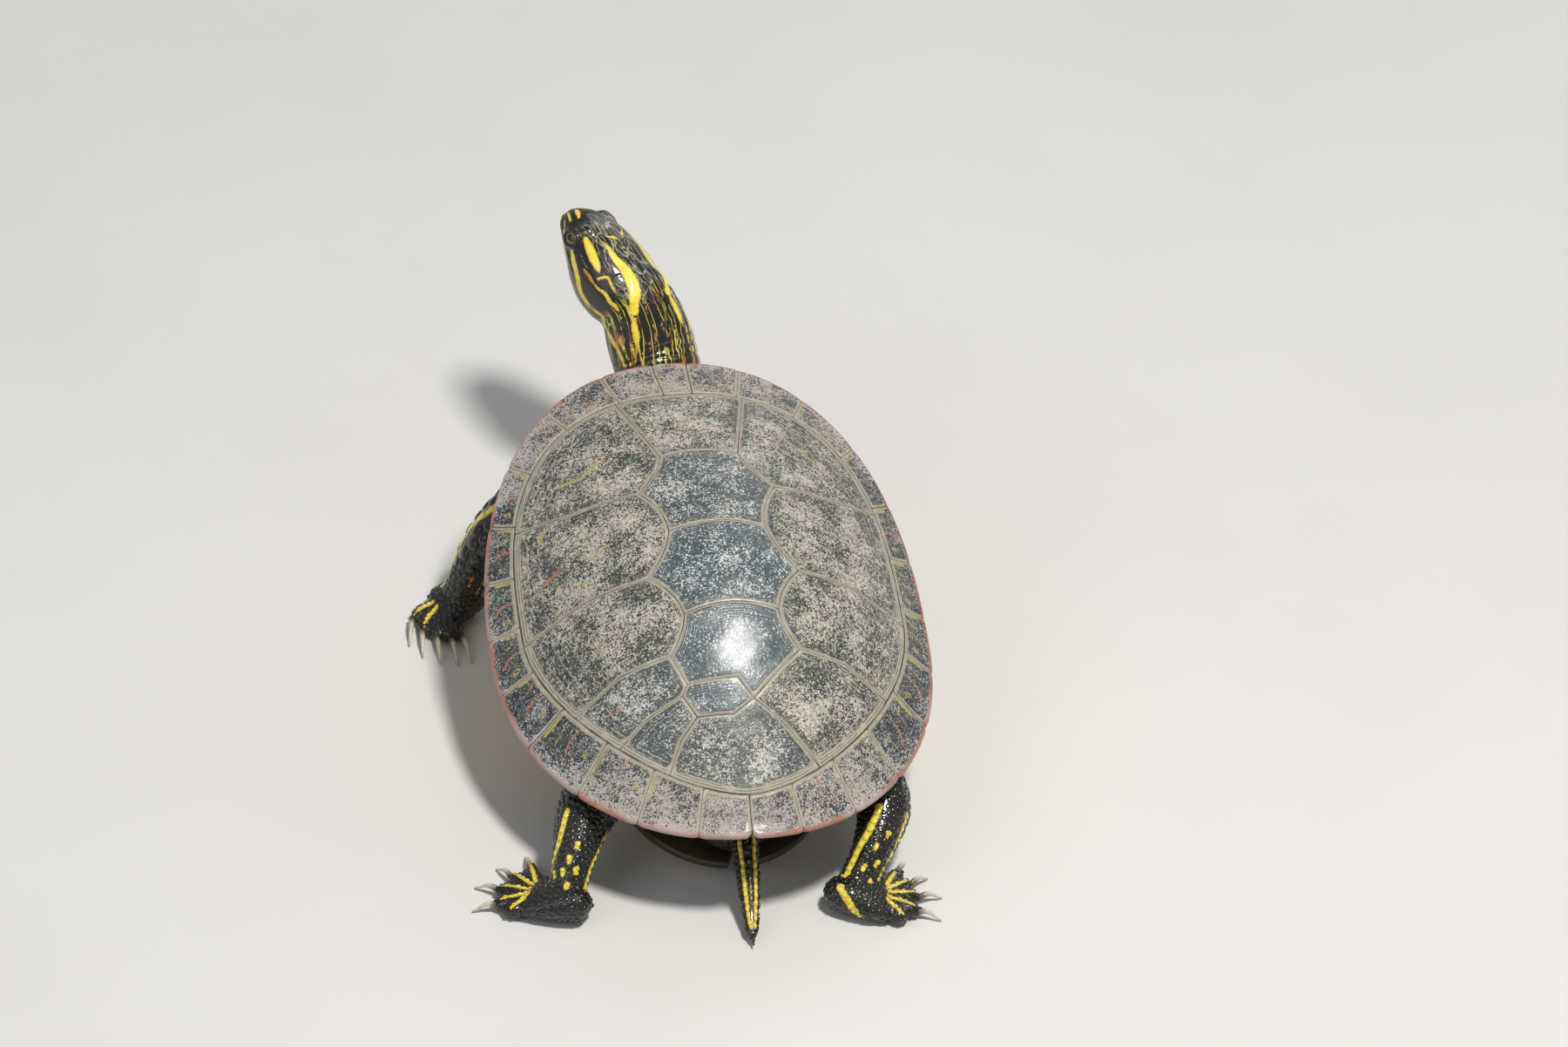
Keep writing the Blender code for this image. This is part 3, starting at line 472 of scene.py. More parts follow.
def slab(flat, faces, top, bottom):
    """Points and faces of a closed slab over flat points: top and bottom are heights there."""
    count = len(flat)
    points = np.concatenate([np.column_stack([flat, top]), np.column_stack([flat, bottom])])
    shell = [list(f) for f in faces] + [[i + count for i in reversed(f)] for f in faces]
    used = set()
    for face in faces:
        used.update(zip(face, face[1:] + face[:1]))
    shell += [[a, a + count, b + count, b] for a, b in used if (b, a) not in used]
    return points, shell


def along_course(rows, per_row):
    """Catmull-Rom values between rows, per_row for each stretch."""
    rows = np.asarray(rows, float)
    whole = np.concatenate([[2 * rows[0] - rows[1]], rows, [2 * rows[-1] - rows[-2]]])
    made = []
    for i in range(1, len(whole) - 2):
        p0, p1, p2, p3 = whole[i - 1 : i + 3]
        for k in range(per_row + (i == len(whole) - 3)):
            t = k / per_row
            bend = (2 * p0 - 5 * p1 + 4 * p2 - p3) * t * t + (3 * p1 - p0 - 3 * p2 + p3) * t**3
            made.append(0.5 * (2 * p1 + (p2 - p0) * t + bend))
    return np.array(made)


# ---------------------------------------------------------------- limbs as courses


class Course:
    """A limb's centre line with its cross-sections, and frames that don't twist along it."""

    def __init__(self, rows, per_row=10, roll=None, sole=None):
        values = along_course(rows, per_row)
        self.centre, self.half = values[:, :3], values[:, 3:5]
        self.sole = sole
        self.along = unit(np.gradient(self.centre, axis=0))
        across = np.cross(self.along[0], (0, 0, 1))
        if np.linalg.norm(across) < 0.2:
            across = np.cross(self.along[0], (0, 1, 0))
        frames = []
        for along in self.along:
            across = unit(across - along * (across @ along))
            frames.append(across)
        self.across = np.array(frames)
        self.up = np.cross(self.across, self.along)
        steps = np.linalg.norm(np.diff(self.centre, axis=0), axis=1)
        self.reach = np.concatenate([[0], np.cumsum(steps)])
        self.length = self.reach[-1]
        if roll is not None:
            turn = np.radians(roll(self.reach / self.length))[:, None]
            c, s = np.cos(turn), np.sin(turn)
            self.across, self.up = self.across * c - self.up * s, self.up * c + self.across * s

    def at(self, reach):
        """Centre, along, across, up and half sizes at distances along the limb."""
        reach = np.asarray(reach, float)
        pick = [np.stack([np.interp(reach, self.reach, v[:, i]) for i in range(v.shape[1])], -1)
                for v in (self.centre, self.along, self.across, self.up, self.half)]
        return pick[0], unit(pick[1]), unit(pick[2]), unit(pick[3]), pick[4]

    def outward(self, reach, angle):
        """The direction out of the limb at an angle in degrees from its top towards its left."""
        _, _, across, up, _ = self.at(reach)
        turn = np.radians(np.asarray(angle, float))[..., None]
        return up * np.cos(turn) - across * np.sin(turn)

    def surface(self, reach, angle):
        centre, _, _, _, half = self.at(reach)
        turn = np.radians(np.asarray(angle, float))
        size = 1 / np.sqrt((np.sin(turn) / half[..., 0]) ** 2 + (np.cos(turn) / half[..., 1]) ** 2)
        return centre + self.outward(reach, angle) * size[..., None]

    def locate(self, points):
        """For each point: distance along, angle, and distance out as a share of the limb's size."""
        best = nearest(points, self.centre)
        offset = points - self.centre[best]
        ahead = (offset * self.along[best]).sum(1)
        reach = np.clip(self.reach[best] + ahead, 0, self.length)
        centre, _, across, up, half = self.at(reach)
        offset = points - centre
        side, high = -(offset * across).sum(1), (offset * up).sum(1)
        angle = np.degrees(np.arctan2(side, high))
        share = np.linalg.norm(offset, axis=1) / half.mean(1)
        return reach, angle, share

    def tube(self, sides=28):
        turns = np.arange(sides) * 2 * math.pi / sides
        out = self.across[:, None] * self.half[:, None, :1] * np.cos(turns)[None, :, None]
        out = out + self.up[:, None] * self.half[:, None, 1:] * np.sin(turns)[None, :, None]
        rings = self.centre[:, None] + out
        if self.sole is not None:
            rings[..., 2] = np.maximum(rings[..., 2], self.sole)
        return stack_rings(rings)


CHUNK = 4000  # points compared at a time, to spare memory


def nearest(points, targets):
    found = []
    for i in range(0, len(points), CHUNK):
        gap = ((points[i : i + CHUNK, None] - targets[None]) ** 2).sum(2)
        found.append(gap.argmin(1))
    return np.concatenate(found)


def stack_rings(rings):
    """Points and faces of a closed tube through rings, an array of (ring, point, 3)."""
    count, sides = rings.shape[:2]
    index = np.arange(count * sides).reshape(count, sides)
    beside = np.roll(index, -1, axis=1)
    faces = np.stack([index[:-1], beside[:-1], beside[1:], index[1:]], -1).reshape(-1, 4).tolist()
    faces += [index[0][::-1].tolist(), index[-1].tolist()]
    return rings.reshape(-1, 3), faces


def join(parts):
    points, faces, count = [], [], 0
    for part_points, part_faces in parts:
        points.append(part_points)
        faces += [[i + count for i in face] for face in part_faces]
        count += len(part_points)
    return np.concatenate(points), faces


def head_axes():
    turned = Matrix.Rotation(math.radians(HEAD_YAW), 3, "Z")
    raised = Matrix.Rotation(math.radians(HEAD_PITCH), 3, "X")
    rolled = Matrix.Rotation(math.radians(HEAD_ROLL), 3, "Y")
    return np.array(turned @ raised @ rolled)


HEAD_JOINT = np.array(NECK[-1][:3])
HEAD_AXES = head_axes()


def to_head(points):
    return (np.asarray(points, float) - HEAD_JOINT) @ HEAD_AXES


def from_head(points):
    return np.asarray(points, float) @ HEAD_AXES.T + HEAD_JOINT


head_rows = along_course(HEAD_SECTIONS, 6)


def head_size(ahead, angle):
    """Middle height of the head's section, and its radius there in a direction from the top."""
    half_width, top, bottom = (np.interp(ahead, head_rows[:, 0], head_rows[:, i]) for i in (1, 2, 3))
    turn = np.radians(angle)
    across = (np.abs(np.sin(turn)) / half_width) ** HEAD_POWER
    upright = (np.abs(np.cos(turn)) * 2 / (top - bottom)) ** HEAD_POWER
    return (top + bottom) / 2, (across + upright) ** (-1 / HEAD_POWER)


def head_surface(ahead, angle):
    middle, size = head_size(ahead, angle)
    turn = np.radians(angle)
    return from_head(np.stack([-np.sin(turn) * size, ahead, middle + np.cos(turn) * size], -1))


NECK_IN_HEAD = 6.0


def neck_course():
    """The neck's course ends along the head's own axis and rolls with it."""
    rows = [*NECK, (*(HEAD_JOINT + HEAD_AXES[:, 1] * NECK_IN_HEAD), 9.2, 8.0)]
    return Course(rows, 10, lambda share: HEAD_ROLL * smoothstep(share, 0.55, 0.92))


neck = neck_course()
NECK_LENGTH = neck.length - NECK_IN_HEAD


def body_surface(ahead, angle):
    """Places on the head, or on the neck where ahead is negative."""
    ahead, angle = np.asarray(ahead, float), np.asarray(angle, float)
    on_head = head_surface(np.maximum(ahead, 0), angle)
    on_neck = neck.surface(NECK_LENGTH + np.minimum(ahead, 0), angle)
    share = smoothstep(ahead, -2.5, 1.5)[..., None]
    return on_neck + (on_head - on_neck) * share


def toe_rows(palm, toe, turn):
    """Rows of one toe, and the place and heading where its claw starts."""
    heading, length = math.radians(toe[0]), toe[1]
    end = palm.centre[-1]
    forward = palm.along[-1]
    palm_heading = math.atan2(forward[1], forward[0])
    fanned = (heading - palm_heading + math.pi) % (2 * math.pi) - math.pi
    sideways = np.array((-math.sin(palm_heading), math.cos(palm_heading), 0))
    centre = end + sideways * KNUCKLE_SPREAD * palm.half[-1, 0] * fanned
    last, toe_turned, claw_turned = (math.radians(turn[0]), *turn[1:]) if turn else (heading, 0, 0)
    rows, reached = [], 0.0
    for share, width, rise in TOE_STATIONS:
        course = heading + (last - heading) * toe_turned * max(0.0, share)
        along = np.array((math.cos(course), math.sin(course), 0))
        centre = centre + along * length * (share - reached)
        reached = share
        rows.append((centre[0], centre[1], rise, TOE_RADIUS * width, TOE_RADIUS * width))
    course = heading + (last - heading) * claw_turned
    return rows, (math.cos(course), math.sin(course), 0), along


RIGHT_TURN = (180.0 - FORE_TURN[0], *FORE_TURN[1:])
RIGHT_FORE_TOES = tuple((180.0 - h, length, claw) for h, length, claw in FORE_TOES)
LEGS = {
    "foreleg_left": (FORELEG, FORE_PALM, FORE_TOES, FORE_CLAW, FORE_TURN),
    "foreleg_right": (FORELEG_RIGHT, FORE_PALM_RIGHT, RIGHT_FORE_TOES, FORE_CLAW, RIGHT_TURN),
    "hindleg_left": (HINDLEG_LEFT, HIND_PALM_LEFT, HIND_TOES_LEFT, HIND_CLAW, None),
    "hindleg_right": (HINDLEG_RIGHT, HIND_PALM_RIGHT, HIND_TOES_RIGHT, HIND_CLAW, None),
}
SKIN_DEPTH = 0.3  # the skin lies this far inside the solid, for its scales
SOLE = 0.12

tail = Course(TAIL, 10)
legs, palms, toes, claws = {}, {}, {}, {}
for leg_name, (leg_rows, palm_rows, toe_list, claw_length, turn) in LEGS.items():
    legs[leg_name] = Course(leg_rows)
    palms[leg_name] = Course(palm_rows, 8, sole=SOLE)
    toes[leg_name], claws[leg_name] = [], []
    for toe in toe_list:
        rows, claw_heading, toe_heading = toe_rows(palms[leg_name], toe, turn)
        toes[leg_name].append(Course(rows, 6, sole=SOLE))
        if toe[2]:
            tip = np.array(rows[-1][:3])
            claws[leg_name].append((tip, np.array(claw_heading), toe_heading, claw_length))


# ---------------------------------------------------------------- the skin's shape


def thinner(course, depth):
    """The same course with its cross-sections smaller by depth."""
    made = Course.__new__(Course)
    made.__dict__.update(course.__dict__)
    made.half = np.maximum(course.half - depth, course.half * 0.75)
    return made


def head_part():
    rings = []
    angles = np.arange(40) * 9.0
    steps = np.concatenate([np.arange(-2.0, 26.6, 0.8), [26.9, 27.15, 27.3]])
    for ahead in steps:
        middle, size = head_size(max(ahead, 0.0), angles)
        size = size - SKIN_DEPTH * 0.5
        closing = max(0.0, ahead - 26.3)
        size = size * (1 - 0.28 * closing**2)
        turn = np.radians(angles)
        flat = np.stack([-np.sin(turn) * size, np.full_like(size, ahead), middle + np.cos(turn) * size], 1)
        rings.append(from_head(flat))
    return stack_rings(np.array(rings))


def ball(centre, sizes, axes=None, steps=14):
    """A closed egg, by its half sizes along three axes."""
    axes = np.eye(3) if axes is None else axes
    turns = np.arange(2 * steps) * math.pi / steps
    tilt = np.linspace(0.02, math.pi - 0.02, steps)
    ring = np.stack([np.sin(tilt)[:, None] * np.cos(turns), np.sin(tilt)[:, None] * np.sin(turns),
                     np.broadcast_to(np.cos(tilt)[:, None], (steps, 2 * steps))], -1)
    return stack_rings(ring * np.asarray(sizes) @ np.asarray(axes).T + np.asarray(centre))


TRUNK_SHARES = (0.02, 0.2, 0.4, 0.6, 0.75, 0.88, 0.96, 1.0)  # of the way out to its edge
TRUNK_MARGIN, TRUNK_BELOW_SCUTES, TRUNK_ABOVE_PLASTRON = 1.3, 0.7, 0.45  # how far it keeps off the plates


def trunk_part():
    """The body inside the shell, as a closed slab clear of the plates."""
    angles = np.radians(np.arange(0, 360, 5))
    top, low = [], []
    for share in TRUNK_SHARES:
        flat = on_oval(angles, (oval_radius(angles, *RING) - TRUNK_MARGIN) * share)
        x, y = flat.T
        edge_drop = 0.8 if share == TRUNK_SHARES[-1] else 0
        top.append(np.column_stack([flat, dome(x, y) - SCUTE_THICKNESS - TRUNK_BELOW_SCUTES - edge_drop]))
        deep = plastron_top(x, y) + TRUNK_ABOVE_PLASTRON
        outwards = smoothstep((np.abs(x) - plastron_half_width(y) + 8.0) / 14.0)
        under_rim = dome(x, y) - RIM_ROOT_THICKNESS - 2.0
        low.append(np.column_stack([flat, deep + (under_rim - deep) * outwards]))
    rings = np.concatenate(top + low[::-1])
    return stack_rings(from_shell(rings).reshape(len(top + low), len(angles), 3))


HIND_WEB, FORE_WEB = 0.72, 0.38  # how much of the toes' length the webs join
WEB_HEIGHT, WEB_HALF_THICKNESS = 1.25, 0.55


def web_parts():
    """Thin webs of skin between neighbouring toes."""
    made = []
    half = (0, 0, WEB_HALF_THICKNESS)
    for name, feet in toes.items():
        span = HIND_WEB if "hind" in name else FORE_WEB
        for first, second in zip(feet, feet[1:]):
            steps = np.linspace(0.0, span, 7)
            a, b = first.at(steps * first.length)[0], second.at(steps * second.length)[0]
            rings = []
            for p, q in zip(a, b):
                p, q = p * (1, 1, 0) + (0, 0, WEB_HEIGHT), q * (1, 1, 0) + (0, 0, WEB_HEIGHT)
                rings.append([p + half, q + half, q - half, p - half])
            made.append(stack_rings(np.array(rings)))
    return made


BROW, BROW_SIZES = (3.7, EYE_AHEAD - 0.8, 3.9), (2.5, 3.9, 1.9)
EYE, LID_SIZES = (EYE_SIDE, EYE_AHEAD, EYE_UP), (2.95, 2.95, 2.85)


def flesh():
    """Every part of the body as closed tubes that overlap."""
    parts = [head_part(), trunk_part()]
    for side in (-1, 1):
        for (x, y, z), sizes in ((BROW, BROW_SIZES), (EYE, LID_SIZES)):
            parts.append(ball(from_head([(side * x, y, z)])[0], sizes, HEAD_AXES))
    parts.append(thinner(neck, SKIN_DEPTH).tube(36))
    parts.append(thinner(tail, SKIN_DEPTH * 0.7).tube(20))
    for name in legs:
        parts.append(thinner(legs[name], SKIN_DEPTH).tube(28))
        parts.append(thinner(palms[name], SKIN_DEPTH).tube(24))
        parts += [thinner(toe, SKIN_DEPTH * 0.6).tube(16) for toe in toes[name]]
    return join(parts + web_parts())


def neighbour_mean(points, edges, weight):
    total = np.zeros_like(points)
    count = np.bincount(edges.ravel(), minlength=len(points)).astype(float)
    for axis in range(3):
        total[:, axis] += np.bincount(edges[:, 0], points[edges[:, 1], axis], minlength=len(points))
        total[:, axis] += np.bincount(edges[:, 1], points[edges[:, 0], axis], minlength=len(points))
    mean = total / np.maximum(count, 1)[:, None]
    return points + (mean - points) * weight


def edges_of(mesh):
    pairs = np.empty(len(mesh.edges) * 2, np.int32)
    mesh.edges.foreach_get("vertices", pairs)
    return pairs.reshape(-1, 2)


def relax(points, edges, times, weight=0.5):
    for _ in range(times):
        points = neighbour_mean(points, edges, weight)
    return points


def drawn_to(points, tree, most):
    """The points moved onto the surface of the tree, by most at the most."""
    moved = points.copy()
    for i, p in enumerate(points):
        place, _, _, gap = tree.find_nearest(p)
        if gap < most:
            moved[i] = place
    return moved


PLATE_CLEARANCE, RIM_CLEARANCE = 0.5, 0.3
DEEPEST_PUSH = 6.0  # points further than this from where they should be belong to another face


def clear_of_shell(points):
    """Keeps points under the carapace and over the plastron clear of both."""
    shell = to_shell(points)
    x, y, z = shell.T
    angle, radius = polar(x, y)
    rim, ring = oval_radius(angle, *RIM), oval_radius(angle, *RING)
    beneath_scutes = dome(x, y) - SCUTE_THICKNESS - PLATE_CLEARANCE
    under = np.where(radius < ring - RIM_CLEARANCE, beneath_scutes, marginal_bottom(x, y) - RIM_CLEARANCE)
    low = (radius < rim + RIM_CLEARANCE) & (z < under + DEEPEST_PUSH)
    shell[:, 2] = np.where(low, np.minimum(z, under), z)
    above = (np.abs(x) < plastron_half_width(y) + 0.35) & (y < PLASTRON_FRONT + RIM_CLEARANCE)
    above &= (y > PLASTRON_REAR - RIM_CLEARANCE) & (shell[:, 2] > plastron_top(x, y) - DEEPEST_PUSH)
    shell[:, 2] = np.where(above, np.maximum(shell[:, 2], plastron_top(x, y) + RIM_CLEARANCE), shell[:, 2])
    return from_shell(shell)


def refined(mesh, chosen):
    """Splits the faces whose points are all chosen."""
    shaped = bmesh.new()
    shaped.from_mesh(mesh)
    shaped.verts.ensure_lookup_table()
    edges = [e for e in shaped.edges if chosen[e.verts[0].index] and chosen[e.verts[1].index]]
    bmesh.ops.subdivide_edges(shaped, edges=edges, cuts=1, use_grid_fill=True)
    shaped.to_mesh(mesh)
    shaped.free()
    mesh.update()


# ---------------------------------------------------------------- marks on the skin

# Stripes of the left side of head and neck, which the right side mirrors: (ahead, angle, half width)
HEAD_STRIPES = {
    "yellow": (
        ((18.3, 58, 0.65), (16.0, 59, 1.1), (13.5, 60, 1.2), (11.0, 61, 0.85), (9.0, 63, 0.1)),
        ((15.8, 36, 0.15), (13.4, 33, 0.5), (10.3, 33, 0.9), (7.2, 30, 1.25), (3.9, 31, 1.6), (0.7, 37, 1.5),
         (-1.3, 39, 1.1)),
        ((-1.9, 40, 0.7), (-3.4, 43, 1.0), (-6.8, 43, 0.85), (-9.8, 44, 0.2)),
        ((18.7, 97, 0.5), (15.2, 99, 0.85), (11.9, 101, 0.9), (8.9, 107, 0.9), (4.8, 109, 0.75)),
        ((3.9, 108, 0.5), (-1.0, 101, 0.75), (-4.8, 85, 0.85), (-10.2, 72, 0.75), (-17, 63, 0.5)),
        ((25.5, 88, 0.3), (22.3, 112, 0.25), (18.0, 122, 0.32), (13.0, 129, 0.45), (6.0, 131, 0.4)),
        ((8.4, 77, 0.15), (6.6, 77, 0.4), (4.4, 73, 0.5), (1.4, 75, 0.55), (-1.4, 62, 0.4)),
        ((8.4, 69, 0.35), (7.2, 57, 0.4), (3.8, 60, 0.4), (1.6, 58, 0.15)),
        ((-5.1, 69, 0.45), (-9.8, 62, 0.55), (-16, 55, 0.55)),
        ((-4.4, 57, 0.4), (-8.9, 52, 0.5), (-15, 46, 0.35)),
        ((27.2, 52, 0.3), (26.0, 58, 0.42), (24.6, 67, 0.35)),
        ((26.5, 12, 0.35), (25.5, 26, 0.62), (24.0, 41, 0.4)),
        ((16.3, 26, 0.1), (15.0, 13, 0.45), (14.3, 8, 0.3), (13.4, 4, 0.1)),
        ((22.0, 160, 0.4), (14.0, 158, 0.7), (6.0, 158, 0.6), (-3.0, 140, 0.7), (-14.0, 126, 0.7)),
        ((-1.0, 120, 0.3), (-8.0, 104, 0.5), (-16.0, 92, 0.5)),
        ((25.0, 180, 0.3), (18.0, 180, 0.7), (8.0, 180, 0.8), (-2.0, 172, 0.7), (-16.0, 160, 0.8)),
        ((-6.1, 25, 0.2), (-10.9, 23, 0.45), (-15.5, 22, 0.35)),
        ((-7.5, -52, 0.3), (-11.0, -48, 0.5), (-16.0, -46, 0.4)),
        ((-10.0, 34, 0.2), (-13.0, 35, 0.4), (-17.0, 34, 0.3)),
    ),
    "orange": (
        ((12.4, 82, 0.35), (10.4, 79, 0.5), (8.4, 78, 0.4)),
        ((-0.5, -20, 0.2), (-4.7, -12, 0.42), (-9.0, -13, 0.42), (-15.0, -15, 0.3)),
        ((-1.2, -44, 0.25), (-5.0, -36, 0.38), (-11.0, -28, 0.3)),
        ((4.6, 109, 0.6), (3.5, 108, 0.5)),
        ((-2.0, 20, 0.15), (-6.0, 12, 0.3), (-12.5, 8, 0.25)),
    ),
    "pale": (
        ((23.1, 18, 0.12), (18.7, 24, 0.25), (15.6, 19, 0.15), (12.8, 20, 0.2), (8.5, 18, 0.1)),
        ((23.1, 7, 0.08), (18.3, 9, 0.16), (14.5, 12, 0.1), (11.7, 7, 0.18), (8.6, 8, 0.08), (6.5, -4, 0.16)),
        ((23.0, -21, 0.12), (19.0, -17, 0.26), (15.6, -19, 0.2), (12.8, -23, 0.22), (8.0, -24, 0.12)),
        ((-2.6, -64, 0.2), (-5.6, -62, 0.5), (-9.5, -66, 0.4)),
        ((0.3, -8, 0.12), (-0.4, -22, 0.3), (-1.8, -18, 0.15)),
        ((-2.2, 4, 0.1), (-5.0, 3, 0.35), (-10.5, 4, 0.2)),
        ((17.4, 78, 0.08), (14.0, 78, 0.2), (11.0, 73, 0.1)),
    ),
}
# Stripes and spots of the limbs: (distance along the limb, angle, half width)
FORELEG_STRIPES = {
    "yellow": (
        ((24.0, 52, 0.9), (32.0, 43, 1.0), (36.9, 25, 1.0), (42.0, 18, 1.05), (46.8, 17, 1.0),
         (51.3, 4, 1.0), (55.4, -10, 0.8)),
        ((22.0, -120, 0.6), (38.0, -128, 0.7), (50.0, -130, 0.5)),
        ((25.0, 170, 0.5), (40.0, 168, 0.6), (52.0, 160, 0.4)),
    ),
    "orange": (((46.6, 108, 0.3), (48.0, 108, 0.45), (50.0, 110, 0.3)),),
}
HINDLEG_LEFT_STRIPES = {
    "yellow": (
        ((27.0, 104, 0.9), (33.0, 101, 1.0), (36.6, 92, 1.0), (41.0, 88, 0.95), (44.9, 72, 0.8)),
        ((26.0, -20, 0.9), (30.4, -27, 1.0), (33.9, -39, 0.95), (37.6, -66, 0.85), (41.0, -84, 0.6)),
        ((24.0, 160, 0.5), (42.0, 160, 0.5)),
        *(((reach, angle, 0.75), (reach + 0.9, angle, 0.65))
          for reach, angle in ((33.0, 22), (36.2, 8), (38.2, 33), (39.0, -8), (39.6, -42), (42.0, 12))),
    ),
    "orange": (),
}
HINDLEG_RIGHT_STRIPES = {
    "yellow": (
        ((29.0, -38, 1.0), (35.2, -49, 1.05), (38.9, -62, 1.05), (43.2, -64, 1.0), (47.5, -62, 0.95)),
        ((28.0, 40, 0.7), (38.0, 52, 0.7), (46.0, 60, 0.5)),
        ((26.0, 160, 0.5), (44.0, 160, 0.5)),
        *(((reach, angle, 0.7), (reach + 0.9, angle, 0.6))
          for reach, angle in ((34.0, 4), (37.5, -14), (40.5, 12), (43.0, -18), (45.0, 26))),
    ),
    "orange": (),
}
TAIL_STRIPES = {
    "yellow": (
        *(((6.0, side * 40, 0.7), (18.0, side * 34, 0.68), (30.0, side * 32, 0.6), (38.0, side * 20, 0.42))
          for side in (-1, 1)),
        ((10.0, 0, 0.12), (26.0, 0, 0.16), (38.0, 0, 0.3), (44.5, 0, 0.4)),
        *(((8.0, side * 120, 0.5), (36.0, side * 125, 0.4)) for side in (-1, 1)),
    ),
    "orange": (),
}
HEEL_STRIPE = (  # round the right heel: x, y, z, half width
    (22.8, -68.1, 8.4, 0.9),
    (24.4, -71.0, 6.4, 0.9),
    (26.2, -72.6, 4.0, 0.85),
    (28.0, -72.9, 1.6, 0.6),
)
STRIPE_STEPS = 24
FAR_FROM_MARKS = 4.0


def stripe_places(rows, place):
    rows = along_course(rows, STRIPE_STEPS)
    return place(rows[:, 0], rows[:, 1]), rows[:, 2]


def mirrored_stripe(rows):
    return [(reach, -angle, half_width) for reach, angle, half_width in rows]


LIMB_STRIPES = {
    "foreleg_left": FORELEG_STRIPES,
    "foreleg_right": {colour: [mirrored_stripe(rows) for rows in s] for colour, s in FORELEG_STRIPES.items()},
    "hindleg_left": HINDLEG_LEFT_STRIPES,
    "hindleg_right": HINDLEG_RIGHT_STRIPES,
    "tail": TAIL_STRIPES,
}


def limb_course(limb):
    return tail if limb == "tail" else legs[limb]


def all_marks():
    """For each colour, places along its stripes and their half widths."""
    found = {"yellow": [], "orange": [], "pale": []}
    for colour, stripes in HEAD_STRIPES.items():
        for rows in stripes:
            found[colour].append(stripe_places(rows, body_surface))
            found[colour].append(stripe_places(mirrored_stripe(rows), body_surface))
    for limb, marked in LIMB_STRIPES.items():
        for colour, stripes in marked.items():
            found[colour] += [stripe_places(rows, limb_course(limb).surface) for rows in stripes]
    heel = along_course(HEEL_STRIPE, STRIPE_STEPS)
    found["yellow"].append((heel[:, :3], heel[:, 3]))
    for name, feet in toes.items():
        for n, toe in enumerate(feet):
            if "hind" in name or n >= 3:
                rows = ((0.5, 0, 0.35), (toe.length * 0.5, 0, 0.62), (toe.length * 0.96, 0, 0.35))
                found["yellow"].append(stripe_places(rows, toe.surface))
    return {colour: [np.concatenate(list(part)) for part in zip(*marks)] for colour, marks in found.items()}


def tree_of(places):
    tree = KDTree(len(places))
    for i, place in enumerate(places):
        tree.insert(place, i)
    tree.balance()
    return tree


def mark_distances(points, marks):
    """Distance from each point to the edge of the nearest mark, negative inside it."""
    places, halves = marks
    tree = tree_of(places)
    found = np.empty(len(points))
    for i, p in enumerate(points):
        _, index, gap = tree.find(p)
        found[i] = gap - halves[index]
    return np.minimum(found, FAR_FROM_MARKS)


marks = all_marks()


# ---------------------------------------------------------------- the skin

FLESH_NODES = ("head", "lower_jaw", "neck", "trunk", "tail")
LIMB_NODES = ("foreleg", "hindleg", "forefoot", "hindfoot")
SKIN_VOXEL = 1.28
STRAND_RADIUS = 9.0  # about the neck's, for the scale of the pattern round it
LIDS_FROM = 14.0  # how far ahead on the head the eyelids start
EYE_LEAN, EYE_FORWARD = unit((0.93, 0.30, 0.22)), np.array((0, 1, -0.12))
LID_RADIUS, SOCKET_RADIUS, LID_REACH = 2.92, 2.0, 4.2
OPENING = (2.2, 1.75)  # half length and half height of the slit between the lids
NOSTRIL = (0.85, 27.0, 0.1)
NOSTRIL_RADIUS, NOSTRIL_DEPTH = 0.36, 0.45
TYMPANUM = (3.8, 47.0)
TYMPANUM_RADIUS = 2.4


def eye_frame(side):
    """Centre of the eye in the head, and its forward, upward and outward directions."""
    centre = np.array((side * EYE_SIDE, EYE_AHEAD, EYE_UP))
    outwards = EYE_LEAN * (side, 1, 1)
    forward = unit(EYE_FORWARD - outwards * (outwards @ EYE_FORWARD))
    upward = np.cross(outwards, forward) * (-side)
    return centre, forward, -upward if upward[2] < 0 else upward, outwards


def with_eyelids(local):
    """Head points shaped round each eye: a lid that bulges, and an almond opening."""
    shaped = local.copy()
    for side in (-1, 1):
        centre, forward, upward, outwards = eye_frame(side)
        offset = local - centre
        far = np.linalg.norm(offset, axis=1)
        f, g, out = offset @ forward, offset @ upward, offset @ outwards
        near = (far < LID_REACH) & (out > 0)
        spread = np.hypot(f, g)
        opening = np.sqrt((f / OPENING[0]) ** 2 + (np.abs(g) / OPENING[1]) ** 1.8)
        wanted = LID_RADIUS + 0.12 * np.exp(-(((opening - 1.12) / 0.1) ** 2))
        wanted = wanted + (SOCKET_RADIUS - wanted) * smoothstep(opening, 1.04, 0.9)
        direction = offset / np.maximum(far, 1e-6)[:, None]
        crease = 0.22 * np.exp(-(((spread - 3.2) / 0.22) ** 2))
        target = centre + direction * (wanted - crease)[:, None]
        weight = np.where(near, smoothstep(spread, 3.5, 2.7), 0.0)
        shaped += (target - local) * weight[:, None]
    return shaped


